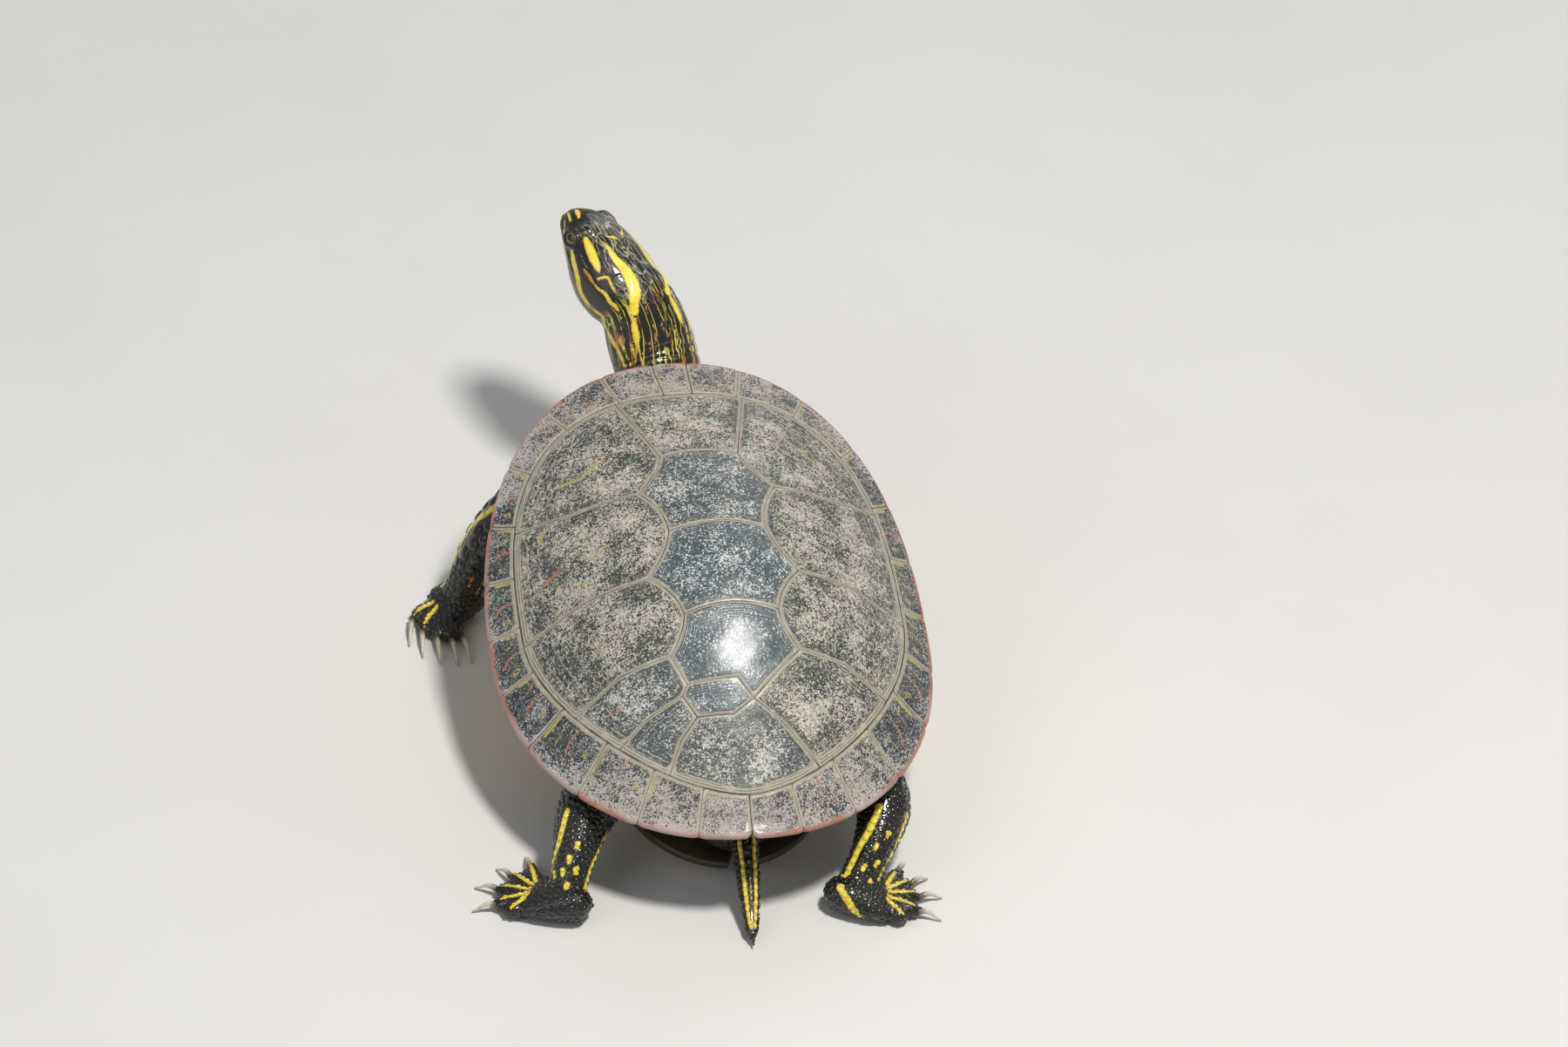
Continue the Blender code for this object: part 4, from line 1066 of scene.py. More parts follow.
def head_relief(local):
    """How far each head point stands out: the beak's edge, the nostrils and the ear drums."""
    x, y, z = local.T
    slope = (MOUTH_TIP_UP - MOUTH_CORNER_UP) / (HEAD_SECTIONS[-1][0] - MOUTH_CORNER_AHEAD)
    rolled = MOUTH_ROLL * smoothstep(2.5 - np.abs(x), 0, 2.5)
    above = z - (MOUTH_CORNER_UP + slope * (y - MOUTH_CORNER_AHEAD) - rolled)
    along = smoothstep(y, MOUTH_CORNER_AHEAD - 0.6, MOUTH_CORNER_AHEAD + 1.0)
    lips = -0.42 * np.exp(-((above / 0.2) ** 2)) + 0.2 * np.exp(-(((above - 0.5) / 0.32) ** 2))
    relief = lips * along
    for side in (-1, 1):
        hole = np.hypot(x - side * NOSTRIL[0], z - NOSTRIL[2])
        relief -= NOSTRIL_DEPTH * np.exp(-((hole / NOSTRIL_RADIUS) ** 4)) * (y > NOSTRIL[1] - 1.6)
        drum = to_head(head_surface(np.array([TYMPANUM[0]]), np.array([-side * TYMPANUM[1]])))[0]
        gap = np.linalg.norm(local - drum, axis=1)
        relief -= 0.13 * np.exp(-(((gap - TYMPANUM_RADIUS) / 0.35) ** 2))
        relief -= 0.06 * smoothstep(gap, TYMPANUM_RADIUS, TYMPANUM_RADIUS - 0.6)
    return relief


def creased(value):
    """A wave with rounded ridges and narrow creases, from -1 in a crease to 0."""
    return -(1 - np.abs(np.sin(value))) ** 2


def neck_relief(points):
    """Folds of the neck: fine ones along it, and rings across it near the head and the shell."""
    reach, angle, share = neck.locate(points)
    ahead = reach - NECK_LENGTH
    drift = wobble(points, 9.0, 3)
    on_neck = smoothstep(ahead, 2.0, -1.0) * smoothstep(reach, 10.0, 16.0) * (share < 1.4)
    lengthwise = creased(angle * math.radians(9.5) + drift * 0.7 + ahead * 0.03)
    rings = creased((ahead + drift * 0.5 + 0.5 * np.abs(np.sin(np.radians(angle)))) * math.pi / 2.7)
    near_head = np.exp(-(((ahead + 0.6) / 2.2) ** 2))
    near_shell = smoothstep(ahead, -8.0, -15.0)
    folds = 0.3 * lengthwise * (1 - 0.5 * near_shell) + rings * (0.42 * near_head + 0.5 * near_shell)
    return folds * on_neck


def limb_folds(points):
    """Soft folds across the tops of the legs and round the tail's root."""
    relief = np.zeros(len(points))
    for course in (*legs.values(), tail):
        reach, _, share = course.locate(points)
        drift = wobble(points, 6.0, 11)
        zone = smoothstep(reach, 6.0, 12.0) * smoothstep(reach, course.length * 0.62, course.length * 0.45)
        relief += 0.35 * creased((reach + drift * 0.9) * math.pi / 3.2) * zone * (share < 1.2)
    return relief


def outside_shell(points):
    """True for points of the body that show, or nearly show, past the shell."""
    shell = to_shell(points)
    x, y, z = shell.T
    angle, radius = polar(x, y)
    below = dome(x, y) - z
    clear = (radius > oval_radius(angle, *RING) - 1.5) | (below > 9.5)
    return clear & ((y > 34) | (y < -30) | (radius > oval_radius(angle, *RIM) - 2))


def normals_of(mesh):
    found = np.empty(len(mesh.vertices) * 3)
    mesh.vertices.foreach_get("normal", found)
    return found.reshape(-1, 3)


def flesh_mesh():
    """The flesh as one mesh without folds, finer where it shows and finest on the head, and its points."""
    points, faces = flesh()
    tree = BVHTree.FromPolygons(points.tolist(), faces)
    rough = make_object("rough_flesh", points, faces, None)
    remesh = rough.modifiers.new("one skin", "REMESH")
    remesh.mode, remesh.voxel_size = "VOXEL", SKIN_VOXEL * MM
    evaluated = rough.evaluated_get(bpy.context.evaluated_depsgraph_get())
    mesh = bpy.data.meshes.new_from_object(evaluated)
    bpy.data.objects.remove(rough)
    points = relax(points_of(mesh), edges_of(mesh), 3)
    points = relax(drawn_to(points, tree, 0.6), edges_of(mesh), 2)
    put_points(mesh, clear_of_shell(points))
    refined(mesh, outside_shell(points_of(mesh)))
    points = relax(points_of(mesh), edges_of(mesh), 1)
    points = relax(drawn_to(points, tree, 0.35), edges_of(mesh), 1, 0.4)
    put_points(mesh, clear_of_shell(points))
    refined(mesh, to_head(points_of(mesh))[:, 1] > 0.5)
    points = points_of(mesh)
    on_head = to_head(points)[:, 1] > -0.5
    points = np.where(on_head[:, None], relax(points, edges_of(mesh), 2), points)
    put_points(mesh, points)
    return mesh, points


def sculpted(mesh, points):
    """The skin's points with its mouth, nostrils, folds and eyelids, clear of the shell and the floor."""
    local = to_head(points)
    relief = np.where(local[:, 1] > 0, head_relief(local), 0.0)
    relief = relief + neck_relief(points) + np.where(outside_shell(points), limb_folds(points), 0.0)
    points = points + normals_of(mesh) * relief[:, None]
    local = to_head(points)
    lidded = from_head(with_eyelids(local))
    points = clear_of_shell(np.where((local[:, 1] > LIDS_FROM)[:, None], lidded, points))
    points[:, 2] = np.maximum(points[:, 2], SOLE)
    return points


def make_skin(material):
    mesh, points = flesh_mesh()
    points = sculpted(mesh, points)
    put_points(mesh, points)
    paint(mesh, points)
    mesh.shade_smooth()
    mesh.materials.append(material)
    skin = bpy.data.objects.new("skin", mesh)
    bpy.context.scene.collection.objects.link(skin)
    flesh_nodes = [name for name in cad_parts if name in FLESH_NODES or name.startswith(LIMB_NODES)]
    return declare(skin, "skin", *flesh_nodes)


def paint(mesh, points):
    """Writes the distances to the marks, and where each point is along and around the body."""
    for colour, found in marks.items():
        set_values(mesh, colour, mark_distances(points, found))
    local = to_head(points)
    ahead = local[:, 1]
    middle, _ = head_size(np.clip(ahead, 0, 27), 0.0)
    head_angle = np.degrees(np.arctan2(-local[:, 0], local[:, 2] - middle))
    reach, neck_angle, _ = neck.locate(points)
    turn = np.radians(neck_angle)
    set_values(mesh, "flow", local[:, [1, 0, 2]])
    around = STRAND_RADIUS * np.sin(turn), STRAND_RADIUS * np.cos(turn)
    set_values(mesh, "strand", np.column_stack([reach, *around]))
    crown = smoothstep(np.abs(head_angle), 66, 42) * smoothstep(ahead, -4, 1) * smoothstep(ahead, 24, 19)
    neck_part = smoothstep(ahead, 2.5, -2) * smoothstep(reach, 4, 9)
    set_values(mesh, "crown", crown)
    set_values(mesh, "neck", neck_part * (np.linalg.norm(points - HEAD_JOINT, axis=1) < 45))


# ---------------------------------------------------------------- shell plates

PLATE_STEP = 0.6
PLATE_GAP = 0.03
EDGE_DROP, EDGE_WIDTH = 0.16, 1.1
# Short squiggles on the costals: plan places (x, y, half width)
SCUTE_SQUIGGLES = {
    "yellow": (
        (
            (-33.6, 32.3, 0.3), (-31.2, 31.9, 0.5), (-28.4, 31.7, 0.45), (-25.6, 33.4, 0.5),
            (-22.4, 35.8, 0.25),
        ),
        ((-39.3, 16.9, 0.3), (-38.9, 19.0, 0.5), (-37.4, 20.4, 0.35)),
        ((-31.4, 5.6, 0.15), (-29.1, 4.9, 0.35), (-26.5, 6.0, 0.3), (-24.6, 6.1, 0.15)),
        ((23.4, 39.4, 0.15), (26.9, 36.9, 0.35), (29.8, 33.4, 0.2)),
        ((-33.5, -3.0, 0.1), (-31.8, -1.6, 0.3), (-30.0, -1.9, 0.15)),
    ),
    "red": (
        ((-26.0, 36.6, 0.2), (-24.0, 36.4, 0.4), (-22.6, 37.4, 0.2)),
        ((-40.3, 4.6, 0.3), (-38.5, 5.4, 0.5), (-36.1, 6.6, 0.25)),
        ((-32.4, -21.8, 0.2), (-30.2, -19.6, 0.4)),
        ((-30.6, -37.9, 0.15), (-27.2, -37.8, 0.35)),
        ((20.8, 41.7, 0.2), (23.6, 39.6, 0.45), (25.0, 38.2, 0.2)),
        ((30.2, 33.2, 0.25), (30.9, 30.8, 0.4)),
        ((-3.4, 49.0, 0.08), (-2.6, 45.5, 0.2), (-2.0, 42.8, 0.1)),
    ),
}
# How fast a scute grew towards its sides, its front and everywhere: lines lie further apart where faster
COSTAL_GROWTH = (0.75, 0.35, 0.25)
VERTEBRAL_GROWTH = (0.05, 0.30, 0.24)
GROWTH_LIMIT = 30.0
SEAM_WIDTHS = 0.58, 0.76  # half width of the pale band along seams that run across, and along others
RING_SEAM_WIDTH, RING_REACH = 1.45, 1.2
# Scutes that are worn clean of silt, and how much: the rest keep all of theirs
WORN_CLEAN = {
    "vertebral_2": 0.45,
    "vertebral_3": 0.8,
    "vertebral_4": 1.0,
    "vertebral_5": 1.0,
    "vertebral_6": 0.3,
    "costal_left_4": 0.35,
    "costal_left_5": 0.45,
}


def plan_marks(groups):
    found = {}
    for colour, lines in groups.items():
        rows = np.concatenate([along_course(line, STRIPE_STEPS) for line in lines])
        found[colour] = (np.column_stack([rows[:, :2], np.zeros(len(rows))]), rows[:, 2])
    return found


def outward_ways(outline):
    run = np.roll(outline, -1, axis=0) - outline
    return unit(np.stack([run[:, 1], -run[:, 0]], 1)) * turned_way(outline)


def seam_share(flat, outline):
    """Distance from the scute's edge, measured in widths of the seam there: widest beside the marginals."""
    middles = (outline + np.roll(outline, -1, axis=0)) / 2
    angle, radius = polar(*middles.T)
    width = np.where(np.abs(outward_ways(outline)[:, 1]) > 0.8, *SEAM_WIDTHS)
    width = np.where(oval_radius(angle, *RING) - radius < RING_REACH, RING_SEAM_WIDTH, width)
    return (edge_distances(flat, outline) / width).min(1)


def growth(flat, outline, name):
    """Distance from the scute's edge in units of how fast it grew there."""
    outwards = outward_ways(outline)
    costal = name.startswith("costal")
    side_rate, front_rate, rest = COSTAL_GROWTH if costal else VERTEBRAL_GROWTH
    towards_side = outwards[:, 0] * (-1 if "left" in name else 1) if costal else np.abs(outwards[:, 0])
    rate = rest + side_rate * np.maximum(0, towards_side) + front_rate * np.maximum(0, outwards[:, 1])
    return np.minimum((edge_distances(flat, outline) / rate).min(1), GROWTH_LIMIT)


def make_scute(name, loop, squiggles, material):
    outline = inset(outline_of(loop, PLATE_STEP), PLATE_GAP)
    flat, faces = fill(outline, PLATE_STEP)
    x, y = flat.T
    to_edge = edge_distances(flat, outline).min(1)
    surface = dome(x, y)
    top = surface - EDGE_DROP * (1 - smoothstep(to_edge, 0, EDGE_WIDTH)) ** 1.5
    top = top + 0.14 * wobble(flat, 11.0, 5) * smoothstep(to_edge, 0.5, 5.0)
    points, faces = slab(flat, faces, top, surface - SCUTE_THICKNESS)
    both = {"seam": seam_share(flat, outline), "grow": growth(flat, outline, name)}
    flat3 = np.column_stack([flat, np.zeros(len(flat))])
    both.update({colour: mark_distances(flat3, found) for colour, found in squiggles.items()})
    both["clean"] = np.full(len(flat), WORN_CLEAN.get(name, 0.0))
    values = {key: np.concatenate([found, found]) for key, found in both.items()}
    plate = make_object("plate_" + name, from_shell(points), faces, material, **values)
    return declare(plate, "carapace", name)


# One marginal's marks: places as (share across it, share of its depth in from the rim), half widths in mm
MARGINAL_LINES = {
    "yellow": (
        (((0.07, 0.42), (0.07, 0.95)), 0.5),
        (((0.30, 0.42), (0.27, 0.62), (0.21, 0.88)), 0.24),
    ),
    "red": ((((0.60, 0.30), (0.49, 0.50), (0.46, 0.72), (0.50, 0.95)), 0.36),),
}
MARGINAL_RING = (0.79, 0.62, 0.62, 0.24)  # its centre, radius and half width


def marginal_marks(share, span, edge, width):
    """Signed distances to the marginals' yellow and red marks, by place across each and in from the rim."""
    found = {}
    for colour, lines in MARGINAL_LINES.items():
        best = np.full(len(share), FAR_FROM_MARKS)
        for places, half in lines:
            for (s1, d1), (s2, d2) in zip(places, places[1:]):
                start = np.stack([s1 * span, d1 * width], 1)
                run = np.stack([s2 * span, d2 * width], 1) - start
                rel = np.stack([share * span, edge], 1) - start
                along = np.clip((rel * run).sum(1) / (run * run).sum(1), 0, 1)
                best = np.minimum(best, np.linalg.norm(rel - run * along[:, None], axis=1) - half)
        found[colour] = best
    across, deep, radius, half = MARGINAL_RING
    spot = np.hypot((share - across) * span, edge - deep * width)
    found["yellow"] = np.minimum(found["yellow"], np.abs(spot - radius) - half)
    return found


LIP_STEPS = (20, 50, 90, 130, 160)  # degrees round the rim's edge, from its top
LIP_RADIUS = 0.55
TOP_ROWS, UNDER_ROWS = 17, 10
SEAM_GROOVE, SEAM_GROOVE_WIDTH = 0.15, 0.8
RIM_NOTCH, REAR_NOTCH_DEPTH = 0.3, 1.1
MARGINAL_GAP = 0.07
END_GAP = 0.03
MARGINAL_SEAM, MARGINAL_RING_SEAM = 0.75, 0.95
BELOW = -3.0  # stands for "in from the rim" on the lower face, which has no marks


def marginal_columns(seams):
    """The run's columns: angle in degrees, share of the marginal, its width, distance to a seam, notch."""
    angles, shares, spans, to_seam, notch = [], [], [], [], []
    for first, second in zip(seams, seams[1:]):
        middle = math.radians((first + second) / 2)
        span = math.radians(second - first) * float(oval_radius(middle, *RIM))
        steps = max(6, round(span / PLATE_STEP))
        share = (np.arange(steps + 1) if second == seams[-1] else np.arange(steps)) / steps
        angles.append(first + (second - first) * share)
        shares.append(share)
        spans.append(np.full(len(share), span))
        to_seam.append(np.minimum(share, 1 - share) * span)
        rear = 180.0 - np.abs(first + (second - first) * share)
        depth = np.where((rear < 8) & (share > 0.5), REAR_NOTCH_DEPTH, RIM_NOTCH)
        notch.append(depth * np.exp(-((np.minimum(share, 1 - share) * span / 0.8) ** 2)))
    return [np.concatenate(found) for found in (angles, shares, spans, to_seam, notch)]


def make_marginals(name, side, seams, material):
    """A run of marginals from one seam angle to another, as one closed strip with a rounded edge."""
    angle, share, span, to_seam, notch = marginal_columns(seams)
    angle = np.radians(angle) * side
    rim = oval_radius(angle, *RIM) - notch
    ring = oval_radius(angle, *RING) + MARGINAL_GAP
    end_gap = END_GAP / oval_radius(angle, *RIM).mean()
    angle = angle.min() + end_gap + (angle - angle.min()) * (1 - 2 * end_gap / np.ptp(angle))
    rows, out = [], []
    for k in range(TOP_ROWS):
        radius = ring + (rim - LIP_RADIUS - ring) * k / (TOP_ROWS - 1)
        flat = on_oval(angle, radius)
        beside = np.minimum(to_seam / MARGINAL_SEAM, (radius - ring) / MARGINAL_RING_SEAM)
        drop = SEAM_GROOVE * (1 - smoothstep(to_seam, 0, SEAM_GROOVE_WIDTH))
        drop = np.maximum(drop, EDGE_DROP * (1 - smoothstep(radius - ring, 0, EDGE_WIDTH)) ** 1.5)
        height = dome(*flat.T) - drop * smoothstep(rim - radius, 0.3, 1.2) + 0.08 * wobble(flat, 6.0, 9)
        rows.append(np.column_stack([flat, height]))
        out.append((rim - radius, beside))
    for turn in np.radians(LIP_STEPS):
        radius = rim - LIP_RADIUS + LIP_RADIUS * np.sin(turn)
        flat = on_oval(angle, radius)
        top, low = dome(*flat.T), dome(*flat.T) - RIM_EDGE_THICKNESS
        rows.append(np.column_stack([flat, (top + low) / 2 + (top - low) / 2 * np.cos(turn)]))
        out.append((rim - radius, to_seam))
    for k in range(UNDER_ROWS):
        radius = rim - LIP_RADIUS + (ring - rim + LIP_RADIUS) * k / (UNDER_ROWS - 1)
        flat = on_oval(angle, radius)
        rows.append(np.column_stack([flat, marginal_bottom(*flat.T)]))
        out.append((-1 - (rim - radius), to_seam))
    rings = np.stack(rows, 1)
    if side < 0:
        rings = rings[::-1]
    points, faces = stack_rings(rings)

    def spread(values):
        wide = np.stack([np.broadcast_to(v, angle.shape) for v in values], 1)
        return (wide[::-1] if side < 0 else wide).ravel()

    edge = spread([o[0] for o in out])
    shared, spanned = spread([share] * len(out)), spread([span] * len(out))
    width = spread([rim - ring] * len(out))
    found = marginal_marks(shared, spanned, np.where(edge < 0, BELOW, edge), width)
    seam = spread([o[1] for o in out])
    values = {"seam": seam, "edge": edge, "across": shared, **found}
    run = make_object("rim_" + name, from_shell(points), faces, material, **values)
    return declare(run, "marginals", name)


PLASTRON_STEP = 1.1
PLASTRON_SEAMS = (50.0, 40.0, 20.0, -2.0, -22.0, -42.0)


def make_plastron(material):
    turns = np.linspace(0, math.pi, 121)[1:-1]
    y = (PLASTRON_FRONT + PLASTRON_REAR) / 2 + (PLASTRON_FRONT - PLASTRON_REAR) / 2 * np.cos(turns)
    half = plastron_half_width(y) - 0.1
    keep = half > 1.5
    right = np.column_stack([half[keep], y[keep]])
    outline = np.concatenate([right, [(0.0, PLASTRON_REAR + 4.0)], right[::-1] * (-1, 1)])
    flat, faces = fill(outline, PLASTRON_STEP)
    x, y = flat.T
    to_edge = edge_distances(flat, outline).min(1)
    cross = np.min([np.abs(y - level + 0.05 * np.abs(x)) for level in PLASTRON_SEAMS], axis=0)
    seam = np.minimum(np.abs(x + 0.35 * np.sin(y * 0.3)), cross)
    round_off = 0.9 * (1 - smoothstep(to_edge, 0, 2.2)) ** 2
    points, faces = slab(flat, faces, plastron_top(x, y) - round_off * 0.4,
                         plastron_bottom(x, y) + round_off + 0.22 * (1 - smoothstep(seam, 0, 0.8)))
    middle = np.abs(x) - 4.5 - 2.5 * np.sin(y * 0.21) - 1.5 * np.sin(y * 0.63 + 1)
    both = {"seam": seam, "middle": middle}
    values = {key: np.concatenate([found, found]) for key, found in both.items()}
    # Painted shade: the plastron's upper face is painted dark, partly for the dark skin that covers it and
    # partly as the shade under the shell, and the underside of its rear edge is painted dark as the shade of
    # the shell's rear
    behind = smoothstep(flat[:, 1], -30, -42)
    painted_shade_top = smoothstep(to_edge, 0.6 - 3 * behind, 2.4 - 2.6 * behind)
    values["painted_shade"] = np.concatenate([painted_shade_top, behind * smoothstep(to_edge, 2.0, 0.8)])
    plate = make_object("plate_plastron", from_shell(points), faces, material, **values)
    return declare(plate, "plastron", "plastron")


# ---------------------------------------------------------------- scales

SCALE_GAP = 0.16
CHAIN_GAP = 0.42
SCALE_TUCK = 0.22
PATCH = 0.0015  # width on the map of as much skin as one cell
CHART_COLUMNS, CHART_ROWS = 4, 3
PARTS_PER_CHART = 16
CELL = 2.6  # of the grid in which neighbouring scales are looked for
SCALE_POWER, FREE_GROWTH = 2.6, 1.28  # squareness of a scale, and how far past its radius it may grow
PACKING = 0.88  # how close two scales may lie, as a share of their radii


def scale_families():
    """Each family of scales: its courses, each with a size by place, and its chart's number."""
    made = []
    for n, name in enumerate(legs):
        leg_size = fore_leg_size if "fore" in name else hind_leg_size
        courses = [(legs[name], leg_size), (palms[name], even_size(0.68))]
        made.append((name, courses + [(toe, even_size(0.62)) for toe in toes[name]], n))
    made.append(("tail", [(tail, tail_size)], len(legs)))
    return made


def fore_leg_size(reach, angle, place):
    """Radius of the foreleg's scales: broad plates above, beads towards the wrist and inside."""
    top = np.abs((angle - 48 + 180) % 360 - 180) < 58
    big = smoothstep(reach, 24, 30) * smoothstep(reach, 48, 44)
    return np.where(top, 0.75 + 1.05 * big, 0.62)


def hind_leg_size(reach, angle, place):
    return 0.72 + 0.25 * smoothstep(wobble(place, 5.0, 21), 0.2, 0.9)


def even_size(radius):
    return lambda reach, angle, place: np.full(len(reach), radius)


def tail_size(reach, angle, place):
    return 0.78 - 0.25 * smoothstep(reach, 25, 44)


# Rows of long scales, laid first: (limb, which of its yellow stripes, half length, half width)
SCALE_CHAINS = (
    ("foreleg_left", 0, 2.15, 1.0),
    ("foreleg_right", 0, 2.15, 1.0),
    ("hindleg_left", 0, 1.0, 0.92),
    ("hindleg_left", 1, 1.0, 0.92),
    ("hindleg_right", 0, 1.15, 1.05),
    ("tail", 0, 0.95, 0.68),
    ("tail", 1, 0.95, 0.68),
)


def chain_scales(family):
    """Long scales end to end along a stripe: place, heading, half length, half width."""
    made = []
    for name, index, half_length, half_width in SCALE_CHAINS:
        if name != family:
            continue
        places, _ = stripe_places(LIMB_STRIPES[family]["yellow"][index], limb_course(family).surface)
        far = np.concatenate([[0], np.cumsum(np.linalg.norm(np.diff(places, axis=0), axis=1))])
        rng = np.random.default_rng(index + 31)
        spot = half_length
        while spot < far[-1] - half_length * 0.5:
            grown = half_length * rng.uniform(0.85, 1.12)
            place = np.array([np.interp(spot, far, places[:, i]) for i in range(3)])
            ahead = np.array([np.interp(spot + 0.5, far, places[:, i]) for i in range(3)])
            made.append((place, unit(ahead - place), grown - CHAIN_GAP / 2, half_width))
            spot += 2 * grown
    return made


def fits(place, radius, cell, grid):
    """True if no scale laid before is closer than PACKING allows."""
    for i, j, k in itertools.product((-1, 0, 1), repeat=3):
        for other, other_radius in grid.get((cell[0] + i, cell[1] + j, cell[2] + k), ()):
            gap = place - other
            least = PACKING * (radius + other_radius)
            if gap[0] * gap[0] + gap[1] * gap[1] + gap[2] * gap[2] < least * least:
                return False
    return True


def scatter(candidates, radii, taken, taken_radii, seed):
    """Picks candidates, largest first, that stay clear of those taken before."""
    rng = np.random.default_rng(seed)
    order = np.argsort(-(radii + rng.uniform(0, 0.25, len(radii))), kind="stable")
    grid = {}
    for place, radius in zip(taken, taken_radii):
        grid.setdefault(tuple((place // CELL).astype(int)), []).append((place, radius))
    chosen = []
    for index in order:
        place, radius = candidates[index], radii[index]
        cell = tuple((place // CELL).astype(int))
        if fits(place, radius, cell, grid):
            chosen.append(index)
            grid.setdefault(cell, []).append((place, radius))
    return chosen


def scale_outline(place, axes, size, neighbours, others):
    """Directions round a scale and its half width in each: a round one meets its neighbours halfway."""
    turns = np.arange(PAD_SIDES) * 2 * math.pi / PAD_SIDES
    ways = np.stack([np.cos(turns), np.sin(turns)], 1)
    own = (np.abs(ways) / size) ** SCALE_POWER
    own = (own[:, 0] + own[:, 1]) ** (1 / SCALE_POWER)
    total = (own / FREE_GROWTH) ** PAD_POWER if size[0] == size[1] else own**PAD_POWER
    if size[0] == size[1] and len(neighbours):
        offset = neighbours - place
        flat = np.stack([offset @ axes[0], offset @ axes[1]], 1)
        length = np.linalg.norm(flat, axis=1)
        near = length > 0.3
        flat, length, radius = flat[near], length[near], others[near]
        half = (length**2 + size[0] ** 2 - radius**2) / (2 * length) - SCALE_GAP / 2
        facing = np.maximum(ways @ (flat / length[:, None]).T, 0)
        total = total + ((facing / np.maximum(half, 0.15)) ** PAD_POWER).sum(1)
    return ways, total ** (-1 / PAD_POWER)


PAD_SIDES = 14
PAD_POWER = 7
PAD_RINGS = ((0.0, 1.0), (0.45, 0.93), (0.78, 0.68), (0.95, 0.22), (1.0, -0.5))


CHAIN_SHARES = (-0.6, 0.0, 0.6)  # where along a long scale it holds the others off
NEIGHBOUR_REACH = 4.2


def scale_spots(family, courses, chart, skin_points, owner):
    """Places, headings and half sizes of a limb's scales, and the circles that hold others off."""
    chains = chain_scales(family)
    taken = [place + heading * share * half for place, heading, half, _ in chains for share in CHAIN_SHARES]
    taken_radii = [half_width for *_, half_width in chains for _ in CHAIN_SHARES]
    candidates, radii = [], []
    for number, (course, size_of) in enumerate(courses):
        mine = skin_points[owner == chart * PARTS_PER_CHART + number]
        if not len(mine):
            continue
        reach, angle, _ = course.locate(mine)
        candidates.append(mine)
        radii.append(size_of(reach, angle, mine))
    candidates, radii = np.concatenate(candidates), np.concatenate(radii)
    chosen = scatter(candidates, radii, taken, taken_radii, chart + 5)
    spots = [(candidates[i], None, radii[i], radii[i]) for i in chosen] + chains
    centres = np.array([candidates[i] for i in chosen] + taken)
    return spots, centres, np.array([radii[i] for i in chosen] + taken_radii)


def scale_pad(place, axes, normal, ways, half, height, hub, skin_tree):
    """One scale's points on and over the skin, each with its place on the map and its lift."""
    made = []
    for share, lift in PAD_RINGS:
        ring = ways * half[:, None] * share if share else np.zeros((1, 2))
        for u, v in ring:
            under, out, _, _ = skin_tree.find_nearest(place + axes[0] * u + axes[1] * v)
            raised = height * lift if lift >= 0 else -SCALE_TUCK
            patch = (hub[0] + u / CELL * PATCH, hub[1] + v / CELL * PATCH)
            made.append((np.array(under) + np.array(out) * raised, patch, lift))
    made.append((place - normal * (SCALE_TUCK + 0.1), hub, 0.0))
    return made


def pad_faces(start):
    """Faces of a pad whose points start at an index: its middle first, its rings, then a point below."""
    rings = [[start + 1 + r * PAD_SIDES + i for i in range(PAD_SIDES)] for r in range(len(PAD_RINGS) - 1)]
    bottom = rings[-1][-1] + 1
    made = []
    for i in range(PAD_SIDES):
        j = (i + 1) % PAD_SIDES
        made.append((start, rings[0][i], rings[0][j]))
        made.append((bottom, rings[-1][j], rings[-1][i]))
        made += [(inner[i], outer[i], outer[j], inner[j]) for inner, outer in zip(rings, rings[1:])]
    return made


def make_scales(family, courses, chart, skin_tree, skin_points, owner, material):
    """All the scales of one limb as one mesh of domed pads, each with its patch on the OFBake map."""
    spots, centres, sizes = scale_spots(family, courses, chart, skin_points, owner)
    near = tree_of(centres)
    made, faces = [], []
    column, row = chart % CHART_COLUMNS, chart // CHART_COLUMNS
    root_course = courses[0][0]
    reach, angle, _ = root_course.locate(np.array([s[0] for s in spots]))
    for k, (place, heading, a, b) in enumerate(spots):
        normal = np.array(skin_tree.find_nearest(place)[1])
        lead = heading if heading is not None else root_course.at(reach[k])[1]
        lead = unit(lead - normal * (lead @ normal))
        axes = (lead, np.cross(normal, lead))
        found = [i for _, i, gap in near.find_range(place, NEIGHBOUR_REACH) if gap > 1e-4]
        ways, half = scale_outline(place, axes, (a, b), centres[found], sizes[found])
        across = (column + 0.5 + 0.8 * angle[k] / 360) / CHART_COLUMNS
        hub = across, (row + 0.1 + 0.8 * reach[k] / root_course.length) / CHART_ROWS
        faces += pad_faces(len(made))
        made += scale_pad(place, axes, normal, ways, half, 0.16 + 0.17 * min(a, b), hub, skin_tree)
    points, patches, domes = zip(*made)
    points = np.array(points)
    points[:, 2] = np.maximum(points[:, 2], 0.03)
    values = {colour: mark_distances(points, found) for colour, found in marks.items()}
    made = make_object(f"scales_{family}", points, faces, material, dome=domes, **values)
    chart_map = made.data.uv_layers.new(name="OFBake")
    corner = np.empty(len(made.data.loops), np.int32)
    made.data.loops.foreach_get("vertex_index", corner)
    chart_map.data.foreach_set("uv", np.array(patches, np.float32)[corner].ravel())
    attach(made, "root")
    return made


LIMB_REACH = 1.2


